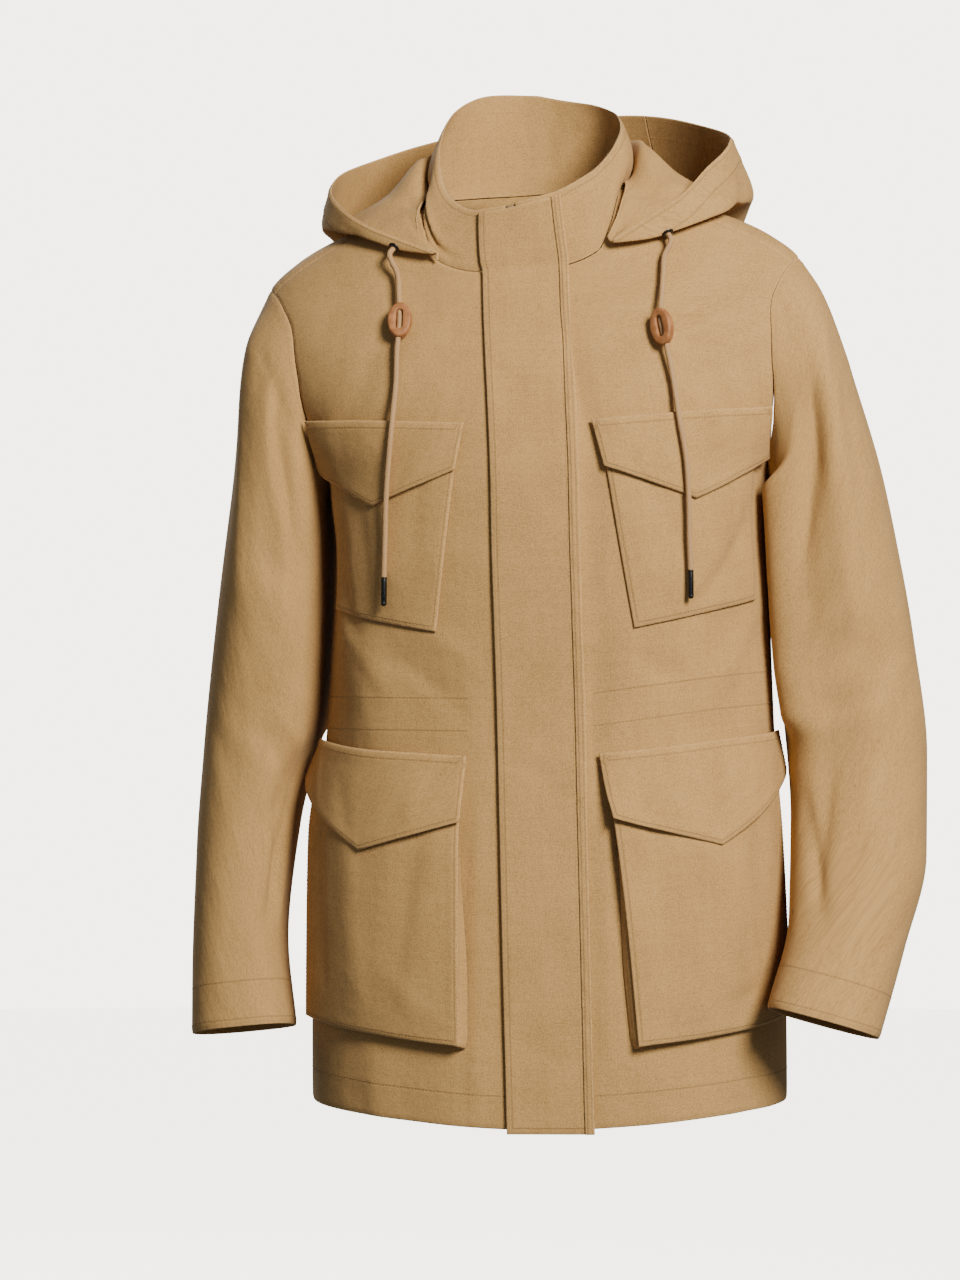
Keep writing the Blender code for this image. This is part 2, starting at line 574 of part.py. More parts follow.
def sleeve_rings(rings, folds, side, around, share):
    """A grid of points on a sleeve: a row for each share from armhole to cuff, a column for each place around.
    Each lengthwise line is a smooth curve through the armhole's edge and the rings of the table."""
    angle, z = armhole(around)
    start = torso_form(angle * side, z)
    start[:, 0] = start[:, 0] * side + ARM_GAP
    a = np.radians(around)
    square = np.where(np.cos(a) > 0, 2 / INNER_SQUARE, 2 / OUTER_SQUARE)
    outward = -np.sign(np.cos(a)) * np.abs(np.cos(a)) ** square
    forward = np.sign(np.sin(a)) * np.abs(np.sin(a)) ** square
    stations = [start]
    names = ("outer_x", "outer_z", "inner_x", "inner_z", "mid_y", "depth", "front_up")
    for outer_x, outer_z, inner_x, inner_z, mid_y, depth, front_up in zip(*(rings[n] for n in names)):
        x = (outer_x + inner_x) / 2 + (outer_x - inner_x) / 2 * outward
        level = (outer_z + inner_z) / 2 + (outer_z - inner_z) / 2 * outward + front_up * forward
        stations.append(np.stack([x, mid_y - depth * forward, level], -1))
    stations = np.array(stations)
    knots = np.concatenate([[0], rings["share"]])
    grid = np.empty((len(share), len(around), 3))
    for c in range(len(around)):
        for k in range(3):
            grid[:, c, k] = smooth(share, knots, stations[:, c, k])
    turn, part = np.broadcast_arrays(around[None, :], share[:, None])
    names = ("around0", "share0", "around1", "share1")
    scale = SLEEVE_GIRTH / 360, SLEEVE_LENGTH
    fold = sum(folds_at(turn + k, part, folds, names, *scale) for k in (-360, 0, 360))
    grid -= grid_normals(grid, closed=True) * (fold * ease(part / 0.08))[..., None]
    grid[..., 0] *= side
    return posed(grid)


def make_sleeves():
    share = np.concatenate([[0, 0.035], np.linspace(0.08, 1, 15)])
    for name, rings, folds, side in (
        ("sleeve_left", SLEEVE_LEFT, FOLDS_LEFT, 1),
        ("sleeve_right", SLEEVE_RIGHT, FOLDS_RIGHT, -1),
    ):
        grid = sleeve_rings(rings, folds, side, arm_turns(), share)[:, ::-side]
        inner = grid - CLOTH * grid_normals(grid, closed=True)
        sheet(name, [ringed(grid)], [ringed(inner)])


# ---- collar and hood ----
def collar_point(turn, up, lift=0.0):
    """Outer face of the stand collar: turn in degrees from centre front, up from 0 at its seam to 1 at its top."""
    turn, up = np.broadcast_arrays(np.asarray(turn, float), np.asarray(up, float))
    low = torso_form(turn, neck_height(turn))
    low[..., 2] += COLLAR_SEAM
    t = np.radians(slid(turn, 0 * turn))
    radius = smooth(np.abs(turn), COLLAR_TOP["turn"], COLLAR_TOP["radius"])
    high_z = smooth(np.abs(turn), COLLAR_TOP["turn"], COLLAR_TOP["z"]) + COLLAR_TWIST * np.sin(2 * t)
    high = np.stack([radius * np.sin(t), -radius * np.cos(t), high_z], -1)
    out = np.stack([np.sin(t), -np.cos(t), 0 * t], -1)
    swell = COLLAR_BULGE * 4 * up * (1 - up) * np.sin(t) ** 2 + np.asarray(lift)
    up = up[..., None]
    return posed(low * (1 - up) + high * up + out * swell[..., None])


def make_collar():
    turn = neck_turns()
    turn, up = np.concatenate([turn, -turn[-2::-1]])[None, :], np.linspace(0, 1, 5)[:, None]
    sheet("collar", [collar_point(turn, up)], [collar_point(turn, up, -CLOTH)])


def shoulder_height(x, y):
    """The height of the torso form above a place in plan, on its upper side."""
    low, high = np.full(np.shape(x), -0.115), np.full(np.shape(x), 0.018)
    for _ in range(24):
        z = (low + high) / 2
        power = smooth(z, TORSO["z"], TORSO["power"])
        deep = np.where(y < 0, smooth(z, TORSO["z"], TORSO["front"]), smooth(z, TORSO["z"], TORSO["back"]))
        inside = (np.abs(x) / smooth(z, TORSO["z"], TORSO["width"])) ** power + (np.abs(y) / deep) ** power < 1
        low, high = np.where(inside, z, low), np.where(inside, high, z)
    return low


def hood_grid(turns, columns):
    """The hood's wall: a row for each turn round the neck, a column from its seam (first) to its brim (last)."""
    side = np.sign(turns)
    turn = np.abs(turns)
    all_round = np.linspace(-179.5, 179.5, 240)
    seam = torso_form(all_round, neck_height(all_round))
    bearing = np.degrees(np.arctan2(seam[:, 0], -seam[:, 1]))
    seam_r = np.interp(turns, bearing, np.hypot(seam[:, 0], seam[:, 1])) + HOOD_SEAM_OUT
    seam_z = np.interp(turns, bearing, seam[:, 2])
    extra = smooth(turn, HOOD["turn"], HOOD["left_up"]) * np.clip(side, 0, 1)
    radii = [seam_r + 0.0010 * ease((72 - turn) / 15)]
    levels = [seam_z + smooth(turn, HOOD["turn"], HOOD["seam_up"])]
    clear = HOOD_CLEAR + HOOD_CLEAR * ease((70 - turn) / 20)
    lower = smooth(turn, HOOD["turn"], HOOD["left_low"]) * np.clip(side, 0, 1)
    for name, share in (("ridge", 0.1), ("floor", 0.25), ("bulge", 0.0), ("brim", 1.0)):
        radii.append(smooth(turn, HOOD["turn"], HOOD[name + "_r"]))
        levels.append(smooth(turn, HOOD["turn"], HOOD[name + "_z"]) + extra * share)
    radii, levels = np.array(radii), np.array(levels)
    radii[4] -= extra * 0.2
    radii[3] += np.abs(lower)
    levels[3] -= lower
    share = np.linspace(0, 1, columns)
    grid = np.empty((len(turns), columns, 3))
    for i in range(len(turns)):
        run = np.concatenate([[0], np.cumsum(np.hypot(np.diff(radii[:, i]), np.diff(levels[:, i])) ** 0.7)])
        r = rounded(share * run[-1], run, radii[:, i])
        level = rounded(share * run[-1], run, levels[:, i])
        fan = math.radians(turn[i])
        x, y = r * math.sin(fan), -r * math.cos(fan)
        least = shoulder_height(x, y) + clear[i] + 0.0015 * ease(share / 0.5)
        level = (level + least + np.sqrt((level - least) ** 2 + (HOOD_SOFT * ease(share / 0.2)) ** 2)) / 2
        grid[i] = np.stack([x * side[i], y, level], -1)
    return posed(grid)


def make_hood():
    """One surface from the wearer's right to the left, cut into the three panels it is sewn from."""
    side = np.linspace(-HOOD["turn"][0], -HOOD_CENTRE_HALF, HOOD_SIDE_ROWS)
    centre = np.linspace(-HOOD_CENTRE_HALF, -180, HOOD_HALF_ROWS)
    turns = np.concatenate([side[:-1], side[-1:] + HOOD_SEAM, centre[:1] - HOOD_SEAM, centre[1:]])
    turns = np.concatenate([turns, -turns[-2::-1]])
    outer = hood_grid(turns, HOOD_COLUMNS)
    inner = outer - HOOD_WALL * grid_normals(outer)
    cut, end = HOOD_SIDE_ROWS, len(turns)
    for name, first, last in (("hood_right", 0, cut), ("hood_centre", cut, end - cut), ("hood_left", end - cut, end)):
        sheet(name, [outer[first:last]], [inner[first:last]])


# ---- placket and zip ----
def front_strip(name, offsets, lift, top_up, low, wall=CLOTH, rows=20, made_of=None):
    """A strip down the front that runs on up the collar: offsets are distances from centre front."""
    top = NECKLINE["z"][0]
    heights = np.linspace(low, top + 0.001, rows)
    angle = angle_at(np.asarray(offsets, float)[None, :], heights[:, None])
    up = np.linspace(0.16, top_up, 4)[:, None]
    faces = []
    for depth in (0, wall):
        on_collar = collar_point(angle_at(offsets, top)[None, :], up, lift - depth)
        faces.append([np.concatenate([torso(angle, heights[:, None], lift - depth), on_collar])])
    sheet(name, *faces, made_of)


def make_placket():
    low = HEM_Z - HEM_FRONT_DROP - PLACKET_LOW
    across = PLACKET_MIDDLE + np.linspace(-PLACKET_HALF, PLACKET_HALF, 5)
    lift = LAY_GAP + CLOTH + PLACKET_LIFT * np.array([1.6, 0.8, 0.4, 0.3, 0.3])
    front_strip("placket", across, lift, PLACKET_TOP_UP, low)
    strip = PLACKET_MIDDLE + PLACKET_HALF + np.array([-STRIP_WIDTH, -STRIP_WIDTH / 2, 0])
    front_strip("placket_strip", strip, lift[-1] + SEAM_GAP + 0.0014, PLACKET_TOP_UP, low, 0.0014)


def make_zip():
    """The tape behind the two fronts, with the chain of teeth in the gap between them."""
    tape_half, chain_half, chain_rise = 0.014, 0.0028, 0.0021
    across = np.array([-tape_half, -chain_half - 0.0006, -chain_half, chain_half, chain_half + 0.0006, tape_half])
    back = -(CLOTH + LAY_GAP) * np.ones(6)
    back[2:4] += chain_rise
    front_strip("zip", across, back, 0.985, HEM_Z + 0.004, 0.0010, 16, ZIP_TAPE)


# ---- pockets ----
def patch(corners, across, down):
    """(girth, z) over a four-sided patch: across 0 at its inner edge, down 0 at its top."""
    top = np.array(corners["top_in"]) * (1 - across) + np.array(corners["top_out"]) * across
    low = np.array(corners["low_in"]) * (1 - across) + np.array(corners["low_out"]) * across
    flat = top * (1 - down) + low * down
    if "tip" in corners:
        reach = tip_reach(corners)
        straight = corners["low_in"][1] * (1 - reach) + corners["low_out"][1] * reach
        drop = (corners["tip"][1] - straight) * np.minimum(across / reach, (1 - across) / (1 - reach))
        flat = flat + np.concatenate([0 * drop, drop], -1) * down
    return flat


def tip_reach(corners):
    inner, outer = corners["low_in"][0], corners["low_out"][0]
    return (corners["tip"][0] - inner) / (outer - inner)


def hang(girth, down, side, corners):
    """Distance from centre front, signed by side, with the shift or skew that both pockets of a pair share."""
    if corners is CHEST or corners is CHEST_FLAP:
        return girth * side + CHEST_SHIFT
    reach = down * (0.28 if corners is LOWER_FLAP else 1.0)
    return girth * side + LOWER_SKEW * reach


def panel_end(z):
    """The angle at which a front ends at height z: the side seam or the armhole."""
    around = np.linspace(0, 120, 61)
    angle, level = armhole(around)
    return np.interp(z, level, angle)


def patch_wall(name, corners, side, lift_at, columns, rows):
    """A pocket's face or a flap on the body: rows from its lower edge up, columns from its inner edge."""
    across = np.linspace(0, 1, columns)
    if "tip" in corners:
        reach, half = tip_reach(corners), columns // 2
        across = np.concatenate([np.linspace(0, reach, half + 1), np.linspace(reach, 1, half + 1)[1:]])
    down = np.linspace(1, 0, rows)
    flat = patch(corners, across[None, :, None], down[:, None, None])
    lift = lift_at(*np.broadcast_arrays(across[None, :], down[:, None]))
    z = flat[..., 1]
    angle = angle_at(hang(flat[..., 0], down[:, None], side, corners), z) * side
    end = panel_end(z) - PANEL_MARGIN * (1 + ease((-0.18 - z) / 0.03))
    angle = np.where(z > UNDERARM_Z, np.minimum(angle, end - (1 - across) * 0.5), angle)
    if side > 0:
        on_body(name, [(angle, z)], lift)
    else:
        on_body(name, [mirrored((angle, z))], lift[:, ::-1])


def chest_lift(a, d):
    swell = np.abs(np.sin(np.pi * a)) ** 0.7 * np.abs(np.sin(np.pi * np.clip(d, 0, 1))) ** 0.7
    return LAY_GAP + CLOTH + CHEST_PUFF * swell + 0.0008 * ease((a - 0.6) / 0.4)


def lower_lift(a, d, outer_rise):
    """The lower pocket bellies out, and its sides and bottom stand off on their gusset."""
    swell = LOWER_PUFF * np.abs(np.sin(np.pi * a)) ** 0.8 * np.abs(np.sin(np.pi * np.clip(d, 0, 1))) ** 0.6
    return 1.4 * LAY_GAP + CLOTH + swell + ease(d / 0.35) * (EDGE_RISE * (1 - a) ** 2 + outer_rise * a**2)


def make_pockets():
    for side, word in ((1, "left"), (-1, "right")):
        rise = OUTER_RISE[word]

        def chest_flap(a, d):
            return chest_lift(a, d * 0.26) + LAY_GAP + CLOTH + 0.0012 * d

        def lower(a, d, rise=rise):
            return lower_lift(a, d, rise)

        def lower_flap(a, d, rise=rise):
            return lower_lift(a, d * 0.28, rise) + LAY_GAP + CLOTH + 0.0016 * d

        patch_wall(f"chest_pocket_{word}", CHEST, side, chest_lift, 8, 8)
        patch_wall(f"chest_flap_{word}", CHEST_FLAP, side, chest_flap, 9, 4)
        patch_wall(f"lower_pocket_{word}", LOWER, side, lower, 9, 10)
        patch_wall(f"lower_flap_{word}", LOWER_FLAP, side, lower_flap, 9, 4)
        make_gusset(side, word, lower)


def make_gusset(side, word, lower):
    """The strip that joins the lower pocket's sides and bottom to the coat, folded in halfway."""
    sides = np.linspace(0.34, 1, 7)
    path = [(0.0, d, -1.0, 0.0) for d in sides[:-1]] + [(0.0, 1.0, -0.7, -0.7)]
    path += [(a, 1.0, 0.0, -1.0) for a in np.linspace(0, 1, 7)[1:-1]] + [(1.0, 1.0, 0.7, -0.7)]
    path += [(1.0, d, 1.0, 0.0) for d in sides[-2::-1]]
    faces = []
    for inset in (0.0, GUSSET_WALL):
        grid = []
        for a, d, out_g, out_z in path:
            girth, z = patch(LOWER, a, d)
            top = float(lower(np.array(a), np.array(d))) - CLOTH - LAY_GAP
            low = LAY_GAP + 0.0002
            full = ease((d - 0.3) / 0.5)
            spread = 0.0060 if out_g < -0.5 else 0.0015
            out = np.array([spread, spread * 0.9, 0.0]) * full - 0.0014 - inset
            lift = np.array([low, (low + top) / 2, top])
            across, up = girth + out * out_g, z + out * out_z
            grid.append(torso(angle_at(hang(across, d, side, LOWER), up), up, lift))
        faces.append(np.array(grid))
    if side > 0:
        faces = [face[:, ::-1] for face in faces]
    sheet(f"pocket_gusset_{word}", faces[:1], faces[1:])


# ---- cords ----
def front_point(x, z, lift):
    """The point of the posed front that lies at x and height z before posing, moved out by lift."""
    turns = np.linspace(-85, 85, 171)
    ring = torso_form(turns[None, :], z[:, None])[..., 0]
    angle = np.array([np.interp(at, row, turns) for at, row in zip(x, ring)])
    return torso(angle, z, lift)


def hood_place(turn, share):
    """A point of the hood's outer face and its normal."""
    grid = hood_grid(np.array([turn + 1.5, turn, turn - 1.5]), 51)
    k = round(share * 50)
    normal = grid_normals(grid)[1, k - 2:k + 3].mean(axis=0)
    return grid[1, k], normal / np.linalg.norm(normal)


def cord_route(eyelet, out, rows, count):
    """The cord's middle line: a smooth curve straight out of the eyelet and through the route's points."""
    first = eyelet + np.outer([CORD_START, CORD_OUT], out)
    knots = np.concatenate([first, front_point(rows["x"], rows["z"], rows["off"])])
    run = np.concatenate([[0], np.cumsum(np.linalg.norm(np.diff(knots, axis=0), axis=1))])
    at = np.linspace(0, run[-1], count)
    return np.stack([rounded(at, run, knots[:, k]) for k in range(3)], -1)


def make_cord(word, rows, eyelet, out):
    route = cord_route(eyelet, out, rows, 36)
    body, end = route[:-3], route[-1]
    curve = bpy.data.curves.new(f"cord_{word}", "CURVE")
    curve.dimensions = "3D"
    curve.bevel_depth = CORD_DIAMETER / 2
    curve.bevel_resolution = 2
    curve.use_fill_caps = True
    spline = curve.splines.new("POLY")
    spline.points.add(len(body) - 1)
    spline.points.foreach_set("co", np.concatenate([body, np.ones((len(body), 1))], 1).ravel())
    add_object(f"cord_{word}", curve, CORD_CLOTH)
    start = body[-1] + (end - body[-1]) / np.linalg.norm(end - body[-1]) * SEAM_GAP
    along = (end - start) / np.linalg.norm(end - start)
    make_tip(f"cord_tip_{word}", start, along)
    return route


def make_tip(name, start, along):
    """A turned metal tip: a sleeve with a rounded nose."""
    profile = table(
        "out     down",
        (0.00225, 0.0), (0.00245, 0.0006), (0.00245, 0.0215), (0.00200, 0.0233), (0.00080, TIP_LENGTH),
    )
    turn = np.arange(10) * math.tau / 10
    side = np.cross(along, [0, -1, 0])
    side /= np.linalg.norm(side)
    front = np.cross(along, side)
    ring = side[None] * np.cos(turn)[:, None] + front[None] * np.sin(turn)[:, None]
    points = start + profile["down"][:, None, None] * along + profile["out"][:, None, None] * ring[None]
    rows = len(profile["out"])
    faces = list(ring_faces(rows, 10))
    faces += [tuple(range(9, -1, -1)), tuple(range((rows - 1) * 10, rows * 10))]
    solid_from(name, points.reshape(-1, 3), faces, METAL)


def solid_from(name, points, faces, made_of):
    """A closed solid, with its faces turned outwards."""
    mesh = bpy.data.meshes.new(name)
    shape = bmesh.new()
    corners = [shape.verts.new(p) for p in points]
    for face in faces:
        shape.faces.new([corners[i] for i in face])
    bmesh.ops.recalc_face_normals(shape, faces=shape.faces)
    shape.to_mesh(mesh)
    shape.free()
    mesh.shade_smooth()
    mesh.set_sharp_from_angle(angle=math.radians(40))
    return add_object(name, mesh, made_of)


def make_toggle(word, route):
    """Two oval leather leaves closed round the cord, with a slot in the front one that shows it."""
    heights = route[:, 2]
    i = int(np.argmin(np.abs(heights - TOGGLE_Z[word])))
    along = route[i + 1] - route[i - 1]
    along /= np.linalg.norm(along)
    front = np.array([TOGGLE_TURN[word], -1.0, 0.0])
    front -= along * (front @ along)
    front /= np.linalg.norm(front)
    side = np.cross(front, along)
    turn = np.arange(20) * math.tau / 20
    rings = []
    bore, slot_w, slot_h = CORD_DIAMETER / 2 + 0.0005, *TOGGLE_SLOT
    profile = ((-0.0016, 1.0), (0.0016, 1.0), (0.0036, 0.80), (TOGGLE_HALF_DEPTH, 0.55))
    for depth, size in profile:
        rings.append((depth, TOGGLE_HALF_WIDTH * size, TOGGLE_HALF_HEIGHT * (0.45 + 0.55 * size)))
    rings = [(-TOGGLE_HALF_DEPTH, rings[3][1], rings[3][2]), (-0.0036, rings[2][1], rings[2][2])] + rings
    points = []
    for depth, wide, high in rings:
        for t in turn:
            points.append(route[i] + front * depth + side * wide * math.cos(t) - along * high * math.sin(t))
    faces = list(ring_faces(len(rings), 20))
    last = (len(rings) - 1) * 20
    faces += [tuple(range(20)), tuple(range(last, last + 20))]
    toggle = solid_from(f"toggle_{word}", points, faces, LEATHER_BROWN)
    cutters = [
        cutter_along(route, i, bore, f"toggle_bore_{word}"),
        cutter_slot(route[i], front, side, along, slot_w, slot_h, f"toggle_slot_{word}"),
    ]
    for cutter in cutters:
        cut = toggle.modifiers.new(cutter.name, "BOOLEAN")
        cut.operation = "DIFFERENCE"
        cut.object = cutter


def hidden(obj):
    obj.hide_render = True
    obj.display_type = "WIRE"
    return obj


def cutter_along(route, i, radius, name):
    """A tube along the cord, longer than the toggle."""
    turn = np.arange(12) * math.tau / 12
    run = route[max(i - 4, 0): i + 5]
    points = []
    for k, p in enumerate(run):
        along = run[min(k + 1, len(run) - 1)] - run[max(k - 1, 0)]
        side = np.cross(along, [0, -1, 0])
        side /= np.linalg.norm(side)
        up = np.cross(side, along / np.linalg.norm(along))
        points += [p + radius * (side * math.cos(t) + up * math.sin(t)) for t in turn]
    faces = list(ring_faces(len(run), 12))
    faces += [tuple(range(12)), tuple(range(len(points) - 12, len(points)))]
    return hidden(solid_from(name, points, faces, LEATHER_BROWN))


def cutter_slot(middle, front, side, along, half_width, half_height, name):
    """An upright slot with round ends, from the cord out through the front leaf."""
    outline = []
    for k in range(12):
        t = math.tau * k / 12
        end = (half_height - half_width) * (1 if math.sin(t) > 0 else -1) if abs(math.sin(t)) > 0.01 else 0
        outline.append((half_width * math.cos(t), half_width * math.sin(t) + end))
    points = []
    for depth in (0.0, 0.012):
        points += [middle + front * depth + side * a + along * b for a, b in outline]
    faces = list(ring_faces(2, 12)) + [tuple(range(12)), tuple(range(12, 24))]
    return hidden(solid_from(name, points, faces, LEATHER_BROWN))


def make_eyelet(word, middle, out):
    """A small ring where the cord comes out of the hood's brim."""
    side = np.cross(out, [0, 0, 1.0])
    side /= np.linalg.norm(side)
    up = np.cross(side, out)
    low, high = EYELET_SEAT, EYELET_SEAT + EYELET_HIGH
    profile = ((EYELET_HOLE, low), (EYELET_HOLE, high), (EYELET_OUT - 0.0008, high), (EYELET_OUT, low))
    count = 14
    points = []
    for radius, height in profile:
        for k in range(count):
            t = math.tau * k / count
            points.append(middle + out * height + radius * (side * math.cos(t) + up * math.sin(t)))
    faces = list(ring_faces(len(profile), count))
    last = (len(profile) - 1) * count
    faces += [(last + k, last + (k + 1) % count, (k + 1) % count, k) for k in range(count)]
    solid_from(f"eyelet_{word}", points, faces, METAL)


def make_cords():
    for word, rows, side in (("left", CORD_LEFT, 1), ("right", CORD_RIGHT, -1)):
        middle, out = hood_place(EYELET_TURN[word] * side, EYELET_UP[word])
        make_eyelet(word, middle, out)
        route = make_cord(word, rows, middle, out)
        make_toggle(word, route)


for old in list(bpy.data.objects):
    bpy.data.objects.remove(old)
CANVAS_CLOTH = material("canvas", CANVAS, 0.85)
CORD_CLOTH = material("cord", CORD_TAN, 0.8)
ZIP_TAPE = material("zip_tape", (0.36, 0.25, 0.14, 1), 0.8)
LEATHER_BROWN = material("leather", LEATHER, 0.5)
METAL = material("gunmetal", GUNMETAL, 0.35, 1.0)

make_body()
make_sleeves()
make_collar()
make_hood()
make_placket()
make_zip()
make_pockets()
make_cords()
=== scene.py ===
# The looks of the hooded field coat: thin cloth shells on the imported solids, sewing, cords and finishes.
import math

import bpy
import numpy as np
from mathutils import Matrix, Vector


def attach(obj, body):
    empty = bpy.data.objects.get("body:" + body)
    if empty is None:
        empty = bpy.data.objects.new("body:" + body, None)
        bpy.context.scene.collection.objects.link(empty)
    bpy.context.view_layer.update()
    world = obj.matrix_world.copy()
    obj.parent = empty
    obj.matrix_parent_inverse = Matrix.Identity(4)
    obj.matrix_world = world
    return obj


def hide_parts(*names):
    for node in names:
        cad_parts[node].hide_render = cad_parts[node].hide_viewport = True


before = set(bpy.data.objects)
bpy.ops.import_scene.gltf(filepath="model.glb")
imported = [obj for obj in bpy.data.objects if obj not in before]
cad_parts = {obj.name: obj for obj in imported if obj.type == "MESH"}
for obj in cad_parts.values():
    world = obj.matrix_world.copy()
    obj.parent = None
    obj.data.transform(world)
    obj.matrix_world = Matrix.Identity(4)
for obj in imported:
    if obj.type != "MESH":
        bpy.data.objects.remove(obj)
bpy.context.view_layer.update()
print("frame loaded:", len(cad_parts), "solids")


def table(columns, *rows):  # a short table as one array for each named column
    return dict(zip(columns.split(), np.array(rows, float).T))


def foldTable(*rows):  # a row runs from u0, v0 to u1, v1; one of six values is neither bowed nor skewed
    return table("u0 v0 u1 v1 height width bow skew", *(row + (0,) * (8 - len(row)) for row in rows))


def unit(v):  # vectors of length 1 along the last axis
    return v / np.maximum(np.linalg.norm(v, axis=-1, keepdims=True), 1e-12)


def lengthAlong(points):  # how far each point of a line lies from its start, along the line
    return np.concatenate([[0], np.cumsum(np.linalg.norm(np.diff(points, axis=0), axis=1))])


def pointsAt(at, run, points):  # the points that lie the distances at along a line
    return np.stack([np.interp(at, run, points[:, k]) for k in range(3)], -1)


